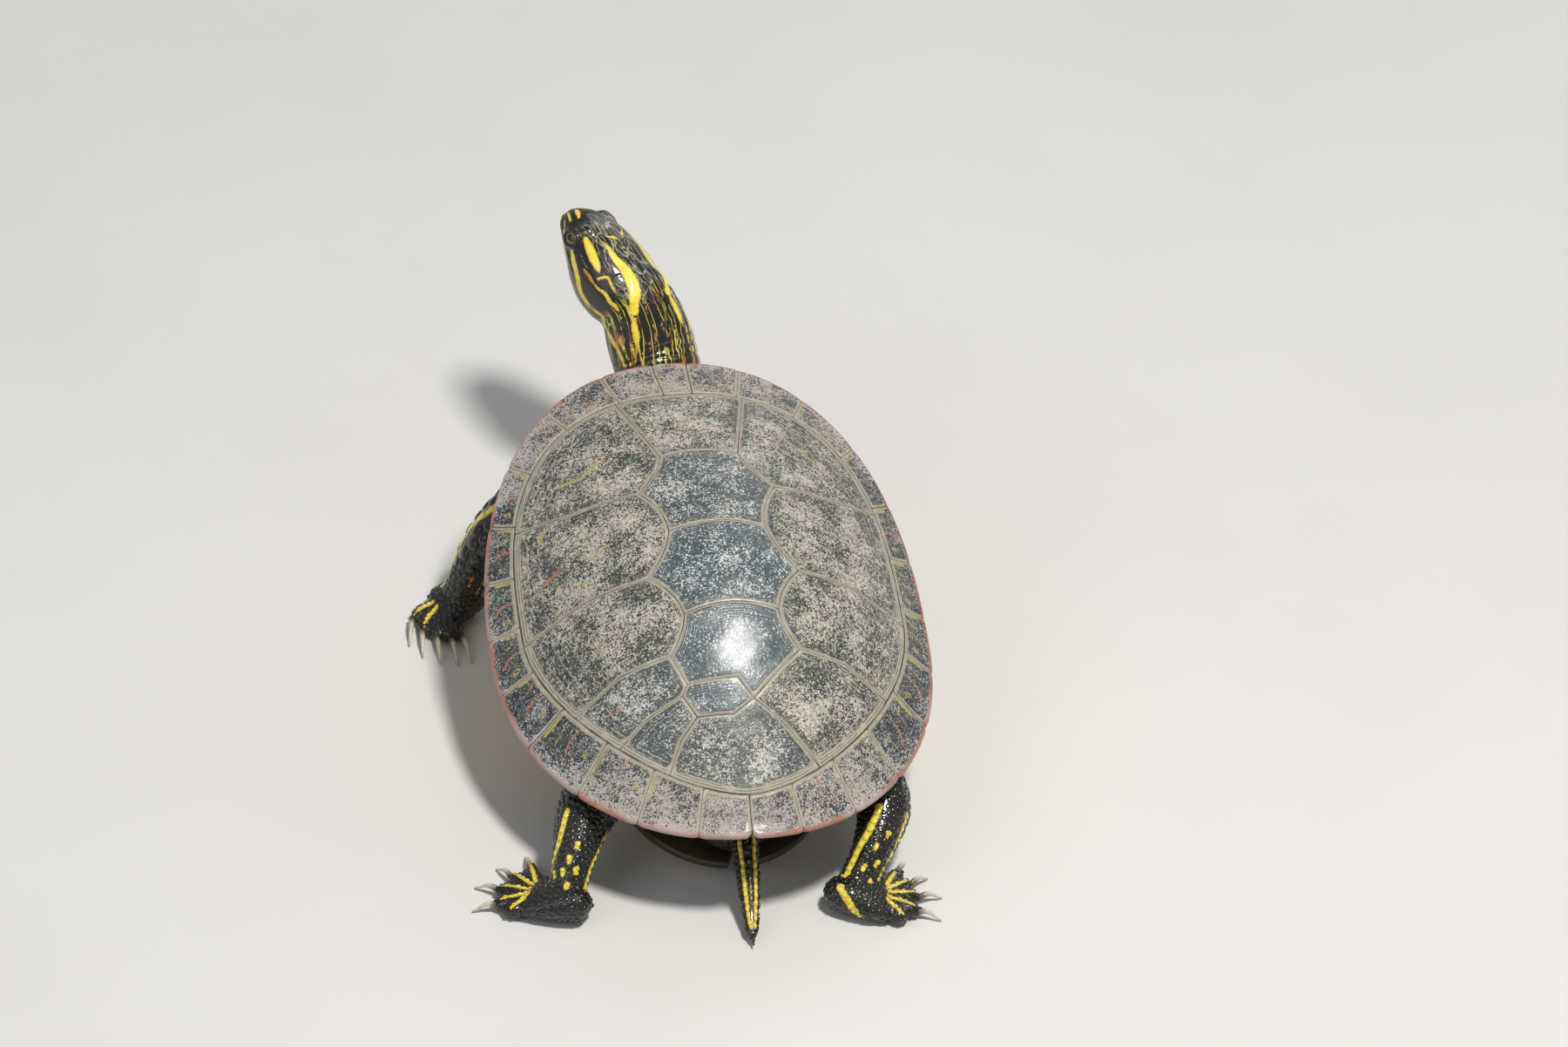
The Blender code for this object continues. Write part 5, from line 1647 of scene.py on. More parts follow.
def limb_owner(points, families):
    """For each skin point the number of the limb part it belongs to, chart by chart, or -1."""
    centres, sizes, owners = [], [], []
    for _, courses, chart in families:
        for number, (course, _) in enumerate(courses):
            centres.append(course.centre)
            sizes.append(course.half.mean(1))
            owners.append(np.full(len(course.centre), chart * PARTS_PER_CHART + number))
    centres.append(neck.centre)
    sizes.append(neck.half.mean(1))
    owners.append(np.full(len(neck.centre), -1))
    centres, sizes, owners = np.concatenate(centres), np.concatenate(sizes), np.concatenate(owners)
    found = np.full(len(points), -1)
    for i in range(0, len(points), CHUNK):
        gap = np.linalg.norm(points[i : i + CHUNK, None] - centres[None], axis=2) - sizes
        best = gap.argmin(1)
        found[i : i + CHUNK] = np.where(gap.min(1) < LIMB_REACH, owners[best], -1)
    return found


def make_all_scales(skin, material):
    points = points_of(skin.data)
    faces = [tuple(p.vertices) for p in skin.data.polygons]
    tree = BVHTree.FromPolygons(points.tolist(), faces)
    families = scale_families()
    owner = limb_owner(points, families)
    showing = outside_shell(points) & (points[:, 2] > 0.5) & (to_head(points)[:, 1] < -5)
    owner = np.where(showing, owner, -1)
    for family, courses, chart in families:
        make_scales(family, courses, chart, tree, points, owner, material)


# ---------------------------------------------------------------- eyes and claws

EYEBALL_RADIUS = 2.42
IRIS_RADIUS, PUPIL_RADIUS = 1.45, 0.72
CORNEA_RISE = 0.16
EYE_RINGS, EYE_SIDES = 44, 48
CLAW_SIDES, CLAW_RINGS = 14, 18
CLAW_ROOT = 0.9
CLAW_SLIMNESS, CLAW_POINT = 0.84, 0.35  # share of the solid claw's radius, along it and at its tip
CLAW_NARROWNESS, CLAW_UNDERCUT = 0.82, 0.28


def make_eye(side, material):
    centre, forward, upward, outwards = eye_frame(side)
    tilts = np.linspace(0.0, math.pi, EYE_RINGS)[1:-1]
    turns = np.arange(EYE_SIDES) * 2 * math.pi / EYE_SIDES
    rings, out, level = [], [], []
    for tilt in tilts:
        from_axis = EYEBALL_RADIUS * math.sin(tilt)
        rise = CORNEA_RISE * (1 - smoothstep(from_axis, 0.6, IRIS_RADIUS + 0.15)) if tilt < 1.5 else 0.0
        size = EYEBALL_RADIUS + rise
        ring = np.cos(turns)[:, None] * forward + np.sin(turns)[:, None] * upward
        rings.append(centre + outwards * size * math.cos(tilt) + ring * size * math.sin(tilt))
        out.append(np.full(EYE_SIDES, from_axis if tilt < 1.57 else 5.0))
        level.append(np.sin(turns) * from_axis)
    points, faces = stack_rings(from_head(np.array(rings).reshape(-1, 3)).reshape(len(tilts), EYE_SIDES, 3))
    name = "left" if side < 0 else "right"
    values = {"out": np.concatenate(out), "level": np.concatenate(level)}
    eye = make_object("eyeball_" + name, points, faces, material, **values)
    return declare(eye, "eye", "eye_" + name)


def claw_rings(tip, heading, toe_heading, length):
    lean = math.sqrt(max(0.0, 1 - float(heading @ toe_heading) ** 2))
    start = -CLAW_ROOT + 1.2 * CLAW_RADIUS * lean * 0.6
    side = np.cross(heading, (0, 0, 1))
    rings, along = [], []
    for k in range(CLAW_RINGS):
        share = k / (CLAW_RINGS - 1)
        radius = CLAW_RADIUS + (CLAW_TIP_RADIUS - CLAW_RADIUS) * share**1.1
        radius *= CLAW_SLIMNESS if k < CLAW_RINGS - 1 else CLAW_POINT
        arch = CLAW_ARCH * math.sin(math.pi * min(1.0, share * 1.25))
        droop = (tip[2] - radius - CLAW_TIP_HEIGHT) * share**1.6
        centre = tip + heading * (start + (length + CLAW_ROOT) * share)
        centre[2] = tip[2] + arch - droop
        slope = unit(heading + np.array((0, 0, 0.5 * (0.55 - share))))
        up = np.cross(side, slope)
        turns = np.arange(CLAW_SIDES) * 2 * math.pi / CLAW_SIDES
        flat = 1 - CLAW_UNDERCUT * smoothstep(-np.sin(turns), 0.3, 1.0)
        ring = side * np.cos(turns)[:, None] * radius * CLAW_NARROWNESS
        ring = ring + up * (np.sin(turns) * flat)[:, None] * radius
        rings.append(centre + ring)
        along.append(np.full(CLAW_SIDES, share))
    return np.array(rings), np.concatenate(along)


def make_claws(leg_name, material):
    kind, side = leg_name.split("leg_")
    parts, along = [], []
    for tip, heading, toe_heading, length in claws[leg_name]:
        rings, share = claw_rings(tip, heading, toe_heading, length)
        rings[..., 2] = np.maximum(rings[..., 2], 0.03)
        parts.append(stack_rings(rings))
        along.append(share)
    points, faces = join(parts)
    made = make_object(f"claws_{kind}_{side}", points, faces, material, along=np.concatenate(along))
    nodes = [f"claw_{kind}_{side}_{n + 1}" for n in range(len(parts))]
    return declare(made, "claw", *nodes)


# ---------------------------------------------------------------- materials


class Shader:
    """A node material, built by short calls. Values at points are in millimetres."""

    def __init__(self, name, **constants):
        self.material = bpy.data.materials.new(name)
        self.material.use_nodes = True
        self.nodes = self.material.node_tree.nodes
        self.links = self.material.node_tree.links
        self.surface = self.nodes["Principled BSDF"]
        for socket, value in constants.items():
            self.surface.inputs[socket.replace("_", " ")].default_value = value
        self.place = self.add("ShaderNodeTexCoord").outputs["Object"]

    def add(self, kind, inputs=(), **settings):
        node = self.nodes.new(kind)
        for key, value in settings.items():
            setattr(node, key, value)
        for key, value in dict(inputs).items():
            if isinstance(value, bpy.types.NodeSocket):
                self.links.new(value, node.inputs[key])
            else:
                node.inputs[key].default_value = value
        return node

    def value(self, name, output="Fac"):
        return self.add("ShaderNodeAttribute", attribute_name=name).outputs[output]

    def sum(self, *terms):
        total = terms[0]
        for term in terms[1:]:
            total = self.calc("ADD", total, term)
        return total

    def calc(self, operation, a, b=0.0, clamp=False):
        node = self.add("ShaderNodeMath", {0: a, 1: b}, operation=operation, use_clamp=clamp)
        return node.outputs[0]

    def times(self, *factors):
        product = factors[0]
        for factor in factors[1:]:
            product = self.calc("MULTIPLY", product, factor)
        return product

    def without(self, a, b, share=1.0):
        """a where b is 0, less of it where b is 1."""
        return self.times(a, self.calc("SUBTRACT", 1.0, self.times(b, share)))

    def band(self, value, low, high):
        """0 below low and 1 above high, or the other way round where high is the lower."""
        ends = (low, high, 0.0, 1.0) if low < high else (high, low, 1.0, 0.0)
        inputs = {"Value": value, **dict(zip(("From Min", "From Max", "To Min", "To Max"), ends))}
        return self.add("ShaderNodeMapRange", inputs, interpolation_type="SMOOTHSTEP").outputs[0]

    def noise(self, scale, detail=3.0, roughness=0.55, vector=None):
        inputs = {"Vector": vector or self.place, "Scale": scale, "Detail": detail, "Roughness": roughness}
        return self.add("ShaderNodeTexNoise", inputs).outputs[0]

    def patches(self, scale, detail, low, high, roughness=0.55):
        """Soft-edged patches of noise: 1 where it is past high, 0 where it is short of low."""
        return self.band(self.noise(scale, detail, roughness), low, high)

    def sway(self, scale, detail, amount, roughness=0.55):
        """Noise about 0 that is amount wide."""
        return self.times(self.calc("SUBTRACT", self.noise(scale, detail, roughness), 0.5), amount)

    def off_middle(self, value):
        return self.calc("ABSOLUTE", self.calc("SUBTRACT", value, 0.5))

    def cells(self, scale, feature="F1", vector=None, output="Distance", randomness=1.0):
        inputs = {"Vector": vector or self.place, "Scale": scale, "Randomness": randomness}
        return self.add("ShaderNodeTexVoronoi", inputs, feature=feature).outputs[output]

    def vectors(self, operation, a, b):
        return self.add("ShaderNodeVectorMath", {0: a, 1: b}, operation=operation).outputs[0]

    def stretched(self, vector, scale):
        return self.vectors("MULTIPLY", vector, scale)

    def axis(self, name):
        return self.add("ShaderNodeSeparateXYZ", {0: self.place}).outputs[name]

    def mix(self, factor, a, b):
        colours = [(*c, 1.0) if isinstance(c, tuple) else c for c in (a, b)]
        node = self.add("ShaderNodeMix", {0: factor, 6: colours[0], 7: colours[1]}, data_type="RGBA")
        return node.outputs[2]

    def blend(self, factor, a, b):
        return self.add("ShaderNodeMix", {0: factor, 2: a, 3: b}, data_type="FLOAT").outputs[0]

    def lines(self, value, centres, half_width, whole):
        """1 on each of the centres, 0 more than half a width away; whole is the largest value."""
        ramp = self.add("ShaderNodeValToRGB", {0: self.calc("DIVIDE", value, whole)})
        stops = [(0.0, 0.0)]
        for centre, bright in centres:
            stops += [(centre - half_width, 0.0), (centre, bright), (centre + half_width, 0.0)]
        elements = ramp.color_ramp.elements
        for place, bright in stops[1:]:
            elements.new(place / whole).color = (bright, bright, bright, 1)
        elements[0].color = (0, 0, 0, 1)
        elements[len(elements) - 1].color = (0, 0, 0, 1)
        return ramp.outputs[0]

    def finish(self, colour, roughness, *bumps):
        self.links.new(colour, self.surface.inputs["Base Color"])
        self.links.new(roughness, self.surface.inputs["Roughness"])
        normal = None
        for height, distance in bumps:
            inputs = {"Height": height, "Distance": distance * MM, "Strength": 1.0}
            if normal is not None:
                inputs["Normal"] = normal
            normal = self.add("ShaderNodeBump", inputs).outputs[0]
        if normal is not None:
            self.links.new(normal, self.surface.inputs["Normal"])
        return self.material


SKIN_BLACK, SKIN_BROWN = (0.007, 0.008, 0.007), (0.020, 0.018, 0.011)
YELLOW, DEEP_YELLOW, ORANGE = (0.90, 0.76, 0.08), (0.80, 0.55, 0.03), (0.62, 0.24, 0.02)
# The second grey is the colour of painted glints on the skin and the scales
PALE, GLINT_GREY = (0.42, 0.40, 0.26), (0.30, 0.30, 0.25)


def mark_mask(s, name, ragged, soft=0.14, shift=0.0):
    """1 inside a mark, with a slightly ragged edge."""
    edge = s.sum(s.value(name), s.times(s.calc("SUBTRACT", ragged, 0.5), 0.55), shift)
    return s.band(edge, soft, -soft)


def head_and_neck(s, colour, patch):
    """A colour with the crown's pale net and the neck's thin lines, and the bumps of head and neck."""
    crown, neck_part = s.value("crown"), s.value("neck")
    flow, strand = s.value("flow", "Vector"), s.value("strand", "Vector")
    wander = s.stretched(s.noise(420, 2), (1.4, 1.0, 1.0))
    drifted = s.vectors("ADD", flow, wander)
    net = s.cells(1.0, "DISTANCE_TO_EDGE", s.stretched(drifted, (0.15, 0.85, 0.85)))
    net = s.times(s.band(net, 0.075, 0.02), s.patches(260, 2, 0.34, 0.48))
    colour = s.mix(s.times(net, crown, 0.85), colour, PALE)
    strayed = s.vectors("ADD", strand, wander)
    thread = s.noise(1.0, 0, 0.4, s.stretched(strayed, (0.035, 0.55, 0.55)))
    thin = s.times(s.band(s.off_middle(thread), 0.05, 0.022), neck_part)
    thin = s.times(thin, s.patches(170, 2, 0.40, 0.50))
    colour = s.mix(s.times(thin, 0.8), colour, s.mix(s.band(patch, 0.45, 0.6), YELLOW, ORANGE))
    pits = s.cells(1500, "SMOOTH_F1")
    along_head = s.noise(1.0, 3, 0.6, s.stretched(drifted, (0.3, 1.4, 1.4)))
    along_neck = s.noise(1.0, 3, 0.6, s.stretched(strand, (0.2, 1.3, 1.3)))
    bumps = [
        (s.times(pits, s.blend(neck_part, 0.25, 1.0)), 0.10),
        (s.times(along_head, s.blend(neck_part, 1.0, 0.0)), 0.35),
        (s.times(along_neck, neck_part), 0.35),
    ]
    return colour, bumps


def skin_material(name, scaled):
    s = Shader(name, Coat_Weight=0.8, Coat_Roughness=0.08, Specular_IOR_Level=0.35)
    ragged = s.noise(1500, 2)
    patch = s.noise(140, 3)
    colour = s.mix(s.band(patch, 0.42, 0.68), SKIN_BLACK, SKIN_BROWN)
    # Painted glints: small grey flecks over the skin, and more of them over the scales, stand in for wet
    # sparkle
    glint_fleck = s.patches(2600, 2, 0.64, 0.74, 0.7)
    colour = s.mix(s.times(glint_fleck, 0.35 if scaled else 0.16), colour, GLINT_GREY)
    bumps = []
    if not scaled:
        colour, bumps = head_and_neck(s, colour, patch)
    pale = mark_mask(s, "pale", ragged)
    colour = s.mix(s.times(pale, 0.75), colour, PALE)
    yellow, orange = mark_mask(s, "yellow", ragged), mark_mask(s, "orange", ragged)
    tint = s.mix(s.patches(230, 3, 0.50, 0.74), YELLOW, DEEP_YELLOW)
    rimmed = s.mix(mark_mask(s, "yellow", ragged, 0.2, 0.30), DEEP_YELLOW, tint)
    if scaled:
        yellow = s.times(yellow, s.band(s.value("dome"), 0.12, 0.5))
    colour = s.mix(yellow, colour, rimmed)
    colour = s.mix(orange, colour, ORANGE)
    rough = s.blend(yellow, s.blend(s.noise(700, 3), 0.16, 0.36), 0.36)
    bumps.append((s.noise(3800, 3, 0.6), 0.035))
    if scaled:
        bumps.append((s.noise(900, 3), 0.08))
    return s.finish(colour, rough, *bumps)


SLATE, OLIVE, BLUE_SLATE = (0.017, 0.025, 0.027), (0.033, 0.040, 0.029), (0.046, 0.074, 0.090)
SILT, PALE_SILT, SPECK = (0.335, 0.295, 0.235), (0.66, 0.61, 0.52), (0.62, 0.67, 0.67)
SEAM_TAN, SEAM_LINE, CRACK = (0.54, 0.48, 0.375), (0.075, 0.068, 0.045), (0.05, 0.033, 0.024)
SHELL_YELLOW, SHELL_RED = (0.50, 0.38, 0.06), (0.46, 0.15, 0.06)
PINK_SILT, GREEN_SILT = (0.58, 0.44, 0.38), (0.34, 0.36, 0.25)
DUST_GREY, PIT_BLACK = (0.15, 0.16, 0.135), (0.014, 0.015, 0.013)
GROWTH_LINES = ((1.9, 0.6), (2.9, 1.0), (4.1, 0.45), (5.3, 0.9), (6.9, 0.4), (8.2, 0.7), (10.2, 0.4))


def silt_cover(s, amount):
    """Dried silt in small crusted specks: amount shifts how much of the surface they cover."""
    fine = s.noise(2300, 2, 0.6)
    middling = s.sway(800, 3, 0.55, 0.65)
    broad = s.sway(110, 4, 0.60, 0.65)
    return s.band(s.sum(fine, middling, broad, amount), 0.46, 0.56)


def seam_lines(s, seam):
    """Fine dark lines that run beside a seam, broken here and there."""
    drifted = s.sum(seam, s.sway(350, 3, 0.25))
    fine = s.lines(drifted, ((0.42, 1.0), (0.80, 1.0), (1.2, 0.8)), 0.13, 2.0)
    return s.times(fine, s.patches(260, 3, 0.32, 0.48))


def silt_colour(s, clean):
    """Pale grains, in pinkish and greenish patches, and blue-grey where the scute is worn clean."""
    tint = s.mix(s.patches(1700, 3, 0.38, 0.60, 0.7), SILT, PALE_SILT)
    tint = s.mix(s.times(s.patches(240, 3, 0.50, 0.66), 0.35), tint, PINK_SILT)
    tint = s.mix(s.times(s.patches(125, 3, 0.50, 0.64), 0.4), tint, GREEN_SILT)
    return s.mix(clean, tint, SPECK)


def with_seams(s, colour, seam):
    """A colour with the pale band beside each seam, its dark lines and the crack between scutes."""
    worn = s.sum(s.sway(500, 3, 0.6), s.sway(75, 2, 1.9))
    band = s.band(s.sum(seam, s.times(worn, 0.55)), 1.12, 0.86)
    colour = s.mix(s.times(band, s.blend(s.noise(900, 4), 0.65, 1.0)), colour, SEAM_TAN)
    colour = s.mix(s.times(seam_lines(s, seam), 0.85), colour, SEAM_LINE)
    crack = s.times(s.band(seam, 0.20, 0.08), s.blend(s.patches(110, 2, 0.42, 0.56), 0.3, 0.85))
    return s.mix(crack, colour, CRACK)


def carapace_material():
    s = Shader("carapace_keratin", Coat_Weight=0.22, Coat_Roughness=0.27, Specular_IOR_Level=0.75)
    seam, clean = s.value("seam"), s.value("clean")
    drift = s.sway(260, 3, 1.3)
    grow = s.sum(s.value("grow"), drift)
    colour = s.mix(s.patches(170, 4, 0.40, 0.62), SLATE, OLIVE)
    colour = s.mix(clean, colour, BLUE_SLATE)
    colour = s.mix(s.times(s.patches(900, 3, 0.50, 0.62, 0.7), 0.3), colour, DUST_GREY)
    fade = s.band(grow, 12.0, 4.5)
    lines = s.times(s.lines(grow, GROWTH_LINES, 0.30, 12.0), fade)
    broken = s.patches(700, 4, 0.40, 0.56, 0.7)
    silt = silt_cover(s, s.sum(s.times(clean, -0.14), s.times(fade, -0.06), 0.035))
    colour = s.mix(s.times(silt, 0.95), colour, silt_colour(s, clean))
    colour = s.mix(s.times(lines, broken, 0.62), colour, s.mix(s.noise(400, 3), SEAM_TAN, PALE_SILT))
    ragged = s.noise(1500, 3)
    for name, tint in (("yellow", SHELL_YELLOW), ("red", SHELL_RED)):
        mark = s.without(mark_mask(s, name, ragged, shift=-0.08), silt, 0.4)
        colour = s.mix(s.times(mark, 0.8), colour, tint)
    pits = s.times(s.band(s.cells(620), 0.17, 0.10), s.patches(420, 2, 0.46, 0.56))
    colour = s.mix(s.times(pits, 0.85), colour, PIT_BLACK)
    speck = s.times(s.band(s.cells(1250), 0.34, 0.20), s.patches(300, 4, 0.42, 0.54))
    colour = s.mix(s.times(speck, s.blend(clean, 0.5, 0.95)), colour, SPECK)
    colour = with_seams(s, colour, seam)
    gloss = s.blend(clean, s.blend(s.noise(800, 3), 0.38, 0.52), s.blend(s.noise(500, 4, 0.7), 0.24, 0.46))
    rough = s.blend(s.without(silt, clean, 0.4), gloss, 0.8)
    grain = s.noise(1700, 4, 0.7)
    ridges = s.sum(s.times(lines, 0.8), s.times(silt, 0.6), s.times(grain, 0.6), s.times(pits, -0.6))
    scratches = s.noise(1.0, 3, 0.6, s.stretched(s.place, (1300.0, 260.0, 260.0)))
    bumps = (s.without(ridges, clean, 0.45), 0.11), (s.noise(420, 3), 0.13), (scratches, 0.05)
    return s.finish(colour, rough, *bumps)


RIM_RED, RIM_PINK = (0.48, 0.10, 0.045), (0.52, 0.36, 0.32)
RIM_DARK, RIM_OLIVE, RIM_BROWN = (0.020, 0.027, 0.038), (0.062, 0.066, 0.058), (0.36, 0.16, 0.10)
BLUE_SILT, BROWN_SILT = (0.40, 0.45, 0.47), (0.44, 0.335, 0.275)
UNDER_ORANGE, UNDER_BLACK, UNDER_YELLOW = (0.52, 0.17, 0.04), (0.020, 0.018, 0.016), (0.66, 0.44, 0.08)


def lip_colour(s, ahead):
    """Red along the rim's edge, pinkish towards the rear and the left."""
    leftwards = s.times(s.band(s.axis("X"), -0.018, -0.04), 0.9)
    pinkish = s.calc("MAXIMUM", s.band(ahead, -0.012, -0.055), leftwards)
    pinkish = s.times(pinkish, s.blend(s.patches(55, 2, 0.42, 0.60), 0.25, 1.0))
    return s.mix(pinkish, s.mix(s.patches(170, 3, 0.42, 0.6), RIM_RED, RIM_BROWN), RIM_PINK)


def underside_colour(s):
    """Orange with a dark blot in the middle of each marginal, yellowish towards its ends."""
    blot = s.sum(s.off_middle(s.value("across")), s.times(s.noise(200, 2), 0.3))
    under = s.mix(s.band(blot, 0.42, 0.30), UNDER_ORANGE, UNDER_BLACK)
    return s.mix(s.times(s.band(blot, 0.46, 0.52), 0.7), under, UNDER_YELLOW)


def marginal_material():
    s = Shader("marginal_keratin", Coat_Weight=0.2, Coat_Roughness=0.2, Specular_IOR_Level=0.55)
    seam, edge = s.value("seam"), s.value("edge")
    ragged = s.noise(1500, 3)
    ahead = s.axis("Y")
    ends = s.calc("MAXIMUM", s.band(ahead, 0.010, 0.045), s.band(ahead, -0.045, -0.072))
    colour = s.mix(s.patches(300, 3, 0.40, 0.62), RIM_DARK, RIM_OLIVE)
    silt = silt_cover(s, s.sum(s.times(ends, 0.13), s.times(s.band(edge, 3.2, 1.0), 0.04), -0.10))
    silt_tint = s.mix(s.patches(1700, 3, 0.38, 0.60, 0.7), SILT, PALE_SILT)
    silt_tint = s.mix(s.times(ends, 0.6), s.mix(0.55, silt_tint, BLUE_SILT), BROWN_SILT)
    colour = s.mix(s.times(silt, 0.92), colour, silt_tint)
    for name, tint in (("yellow", SHELL_YELLOW), ("red", SHELL_RED)):
        mark = s.without(mark_mask(s, name, ragged), silt, 0.5)
        mark = s.times(mark, s.blend(ends, s.patches(190, 3, 0.28, 0.42), s.patches(140, 3, 0.44, 0.62)))
        colour = s.mix(s.times(mark, 0.85), colour, tint)
    speck = s.times(s.band(s.cells(1900), 0.34, 0.2), s.patches(330, 4, 0.34, 0.50))
    colour = s.mix(s.times(speck, 0.75), colour, SPECK)
    beside = s.times(s.band(seam, 1.1, 0.8), s.band(edge, 0.4, 1.0))
    colour = s.mix(s.times(beside, s.blend(s.noise(800, 4), 0.6, 1.0)), colour, SEAM_TAN)
    colour = s.mix(s.times(seam_lines(s, seam), 0.7), colour, SEAM_LINE)
    lip = s.band(s.sum(edge, s.sway(260, 4, 1.9)), 1.1, 0.4)
    colour = s.mix(s.times(s.without(lip, silt, 0.3), 0.92), colour, lip_colour(s, ahead))
    colour = s.mix(s.band(edge, -0.2, -0.9), colour, underside_colour(s))
    colour = s.mix(s.times(s.band(seam, 0.20, 0.07), 0.85), colour, CRACK)
    rough = s.blend(silt, s.blend(s.noise(800, 3), 0.30, 0.46), 0.8)
    ridges = s.sum(s.times(silt, 0.5), s.times(s.noise(1700, 4, 0.7), 0.7))
    return s.finish(colour, rough, (ridges, 0.10), (s.noise(420, 3), 0.15))


PLASTRON_YELLOW, PLASTRON_ORANGE = (0.70, 0.50, 0.13), (0.66, 0.36, 0.06)
FIGURE_BROWN, STAIN_BROWN = (0.085, 0.055, 0.028), (0.20, 0.14, 0.07)
PLASTRON_SEAM, PLASTRON_SHADE_DARK = (0.12, 0.075, 0.03), (0.026, 0.022, 0.016)


def plastron_material():
    s = Shader("plastron_keratin", Coat_Weight=0.2, Coat_Roughness=0.25)
    seam, middle = s.value("seam"), s.value("middle")
    tint = s.mix(s.patches(60, 4, 0.40, 0.65), PLASTRON_YELLOW, PLASTRON_ORANGE)
    painted_shade = s.value("painted_shade")
    figure = s.band(s.sum(middle, s.sway(220, 4, 6.0)), 0.8, -0.8)
    colour = s.mix(s.times(figure, 0.8), tint, FIGURE_BROWN)
    stain = s.patches(700, 5, 0.56, 0.72, 0.7)
    colour = s.mix(s.times(stain, 0.3), colour, STAIN_BROWN)
    colour = s.mix(s.band(seam, 0.55, 0.15), colour, PLASTRON_SEAM)
    # Painted shade: darkens the plastron's upper face and the underside of its rear edge
    colour = s.mix(s.times(painted_shade, 0.96), colour, PLASTRON_SHADE_DARK)
    ridges = s.lines(seam, ((1.0, 1.0), (2.0, 0.7), (3.1, 0.5)), 0.3, 4.0)
    return s.finish(colour, s.blend(stain, 0.34, 0.6), (ridges, 0.08), (s.noise(500, 4), 0.15))


# Painted shade: the iris is painted darker than the eye's own yellow, as the shade of the brow over the eye
IRIS_DARK, IRIS_GOLD, IRIS_BAR = (0.050, 0.036, 0.008), (0.26, 0.20, 0.03), (0.012, 0.010, 0.006)
EYE_RIM, PUPIL = (0.022, 0.019, 0.010), (0.002, 0.002, 0.002)


def eye_material():
    s = Shader("eye", Coat_Weight=1.0, Coat_Roughness=0.02, Specular_IOR_Level=0.6)
    out, level = s.value("out"), s.calc("ABSOLUTE", s.value("level"))
    streaks = s.noise(1600, 4, 0.7)
    iris = s.mix(s.band(streaks, 0.42, 0.64), IRIS_DARK, IRIS_GOLD)
    bar = s.band(s.sum(level, s.times(s.calc("SUBTRACT", streaks, 0.5), 0.3)), 0.52, 0.30)
    iris = s.mix(s.times(bar, 0.92), iris, IRIS_BAR)
    colour = s.mix(s.band(out, IRIS_RADIUS - 0.06, IRIS_RADIUS + 0.08), iris, EYE_RIM)
    colour = s.mix(s.band(out, PUPIL_RADIUS + 0.05, PUPIL_RADIUS - 0.04), colour, PUPIL)
    return s.finish(colour, s.blend(s.noise(500, 2), 0.06, 0.16), (s.noise(900, 2), 0.004))


HORN_ROOT, HORN, HORN_TIP = (0.16, 0.115, 0.065), (0.60, 0.55, 0.43), (0.30, 0.22, 0.13)
HORN_STREAK = (0.24, 0.19, 0.12)


def claw_material():
    s = Shader("claw_horn", Coat_Weight=0.3, Coat_Roughness=0.2, Subsurface_Weight=0.1)
    s.surface.inputs["Subsurface Radius"].default_value = (0.002, 0.0012, 0.0006)
    along = s.sum(s.value("along"), s.sway(700, 3, 0.22))
    colour = s.mix(s.band(along, 0.10, 0.42), HORN_ROOT, HORN)
    colour = s.mix(s.times(s.band(along, 0.78, 1.0), 0.6), colour, HORN_TIP)
    streaks = s.noise(1300, 4, 0.65)
    colour = s.mix(s.times(s.band(streaks, 0.52, 0.68), 0.35), colour, HORN_STREAK)
    return s.finish(colour, s.blend(streaks, 0.26, 0.46), (streaks, 0.05))


FLOOR_GREY, FLOOR_PALE = (0.66, 0.65, 0.63), (0.72, 0.71, 0.69)


def floor_material():
    s = Shader("pale_floor", Specular_IOR_Level=0.3)
    colour = s.mix(s.noise(14, 3), FLOOR_GREY, FLOOR_PALE)
    return s.finish(colour, s.blend(s.noise(60, 3), 0.55, 0.7), (s.noise(900, 3), 0.02))


# ---------------------------------------------------------------- floor, lights and camera

VIEW_RIGHT, VIEW_UP = np.array((0.9849, -0.1597, 0.0670)), np.array((0.0524, 0.6439, 0.7633))
VIEW_BACK = np.array((-0.1650, -0.7483, 0.6425))
AIM_RIGHT, AIM_UP = 17.6, 18.2
CAMERA_DISTANCE, CAMERA_LENS, SENSOR_WIDTH = 10.0, 956.6, 36.0
LIGHTS = (  # name, direction, distance, size, power, colour
    ("key", (0.165, -0.27, 0.943), 1.1, 0.16, 11.0, (1.0, 0.97, 0.92)),
    ("fill", (-0.9, -0.5, 0.7), 1.4, 0.9, 2.2, (0.90, 0.95, 1.0)),
    ("back", (0.5, 0.9, 0.6), 1.4, 0.8, 2.0, (0.95, 0.97, 1.0)),
)
LIGHTS_AIM = (0.0, -0.02, 0.03)
WORLD_COLOUR, WORLD_STRENGTH = (0.86, 0.89, 0.93, 1), 0.32
FLOOR_HALF, FLOOR_AHEAD, FLOOR_TICKS = 1.6, 0.4, 40


def area_light(name, way, distance, size, power, colour):
    data = bpy.data.lights.new(name, "AREA")
    data.shape, data.size, data.energy, data.color = "DISK", size, power, colour
    lamp = bpy.data.objects.new(name, data)
    middle = Vector(LIGHTS_AIM)
    lamp.location = middle + Vector(unit(way)) * distance
    lamp.rotation_euler = (lamp.location - middle).to_track_quat("Z", "Y").to_euler()
    bpy.context.scene.collection.objects.link(lamp)


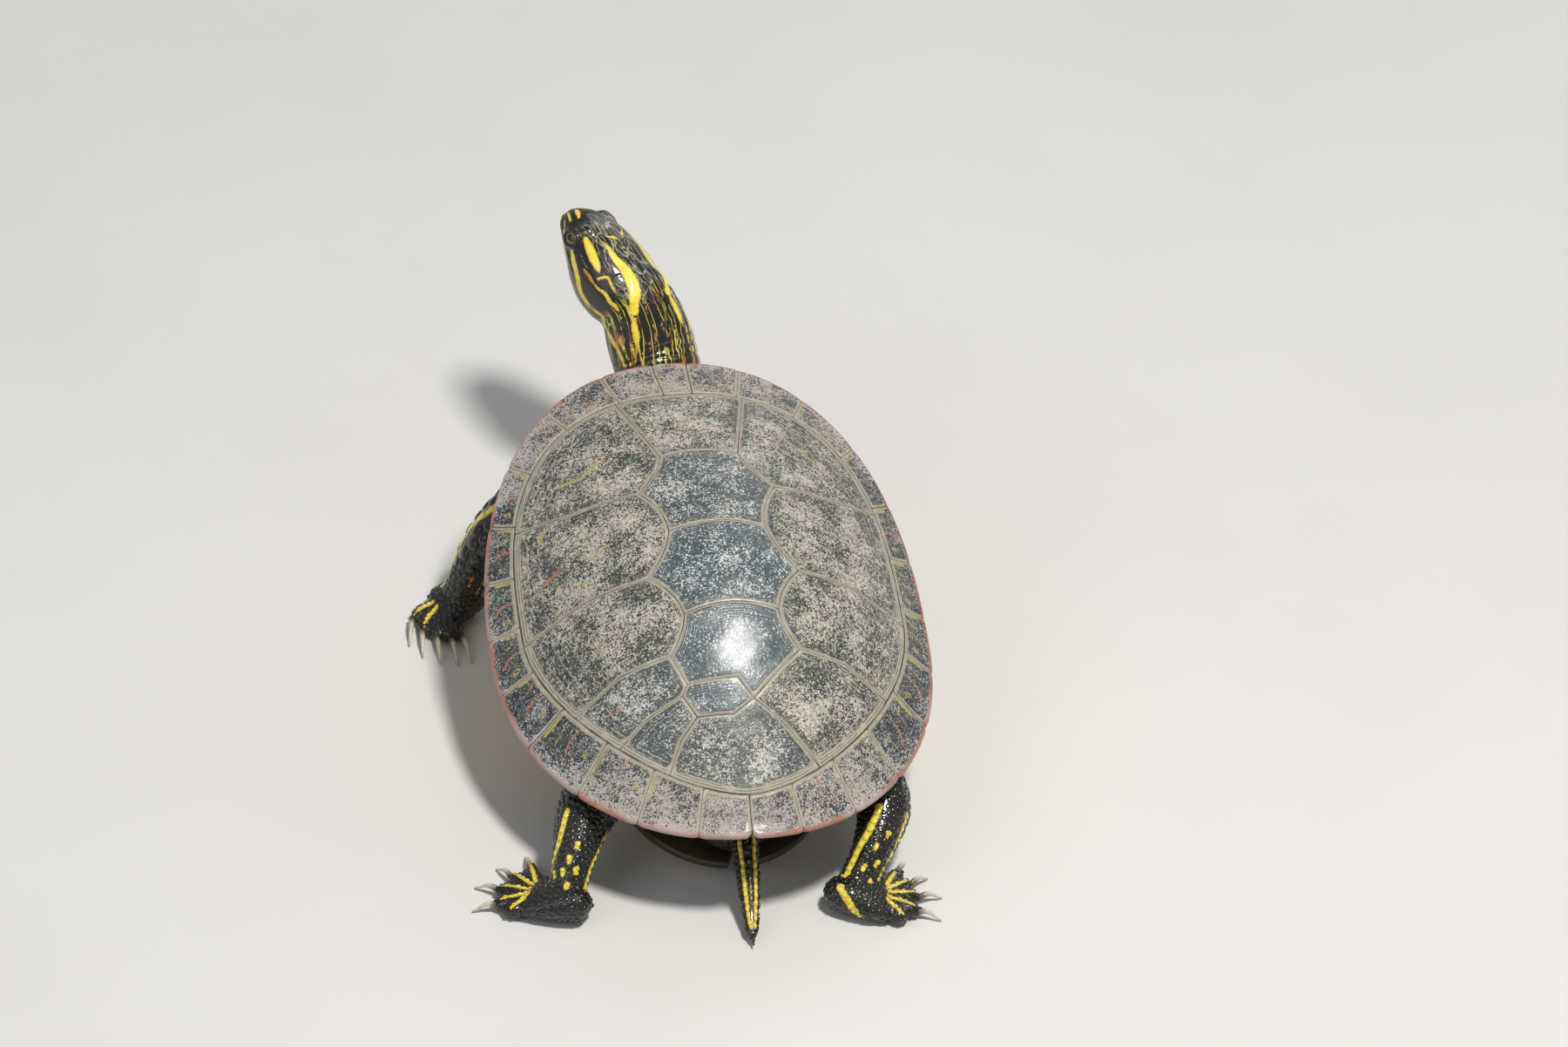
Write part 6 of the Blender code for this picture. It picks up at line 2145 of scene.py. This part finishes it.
def make_stage():
    count = FLOOR_TICKS
    ticks = np.linspace(-FLOOR_HALF, FLOOR_HALF, count)
    gx, gy = np.meshgrid(ticks, ticks + FLOOR_AHEAD)
    points = np.column_stack([gx.ravel() / MM, gy.ravel() / MM, np.zeros(count * count)]) - STAND_OFFSET
    faces = [[r * count + c, r * count + c + 1, (r + 1) * count + c + 1, (r + 1) * count + c]
             for r in range(count - 1) for c in range(count - 1)]
    make_object("floor", points, faces, floor_material())
    for light in LIGHTS:
        area_light(*light)
    world = bpy.data.worlds.new("studio")
    bpy.context.scene.world = world
    world.use_nodes = True
    world.node_tree.nodes["Background"].inputs[0].default_value = WORLD_COLOUR
    world.node_tree.nodes["Background"].inputs[1].default_value = WORLD_STRENGTH


def make_camera():
    data = bpy.data.cameras.new("camera")
    data.lens, data.sensor_width, data.clip_start, data.clip_end = CAMERA_LENS, SENSOR_WIDTH, 0.1, 30.0
    camera = bpy.data.objects.new("camera", data)
    aim = (np.array((0, 0, SHELL_LIFT)) + VIEW_RIGHT * AIM_RIGHT + VIEW_UP * AIM_UP + STAND_OFFSET) * MM
    axes = Matrix((VIEW_RIGHT, VIEW_UP, VIEW_BACK)).transposed().to_4x4()
    camera.matrix_world = Matrix.Translation(Vector(aim + VIEW_BACK * CAMERA_DISTANCE)) @ axes
    bpy.context.scene.collection.objects.link(camera)
    bpy.context.scene.camera = camera
    bpy.context.scene.view_settings.view_transform = "Standard"


def build():
    make_camera()
    make_stage()
    carapace, marginal = carapace_material(), marginal_material()
    squiggles = plan_marks(SCUTE_SQUIGGLES)
    for name, loop in scute_loops().items():
        make_scute(name, loop, squiggles, carapace)
    for side, side_name in ((-1, "left"), (1, "right")):
        for part, (first, last) in RIM_PARTS.items():
            make_marginals(f"marginals_{side_name}_{part}", side, MARGINAL_SEAMS[first : last + 1], marginal)
    make_marginals("nuchal", 1, (-MARGINAL_SEAMS[0], MARGINAL_SEAMS[0]), marginal)
    make_plastron(plastron_material())
    skin = make_skin(skin_material("skin", False))
    make_all_scales(skin, skin_material("scales", True))
    eye, horn = eye_material(), claw_material()
    for side in (-1, 1):
        make_eye(side, eye)
    for leg_name in legs:
        make_claws(leg_name, horn)


build()
bpy.context.view_layer.update()
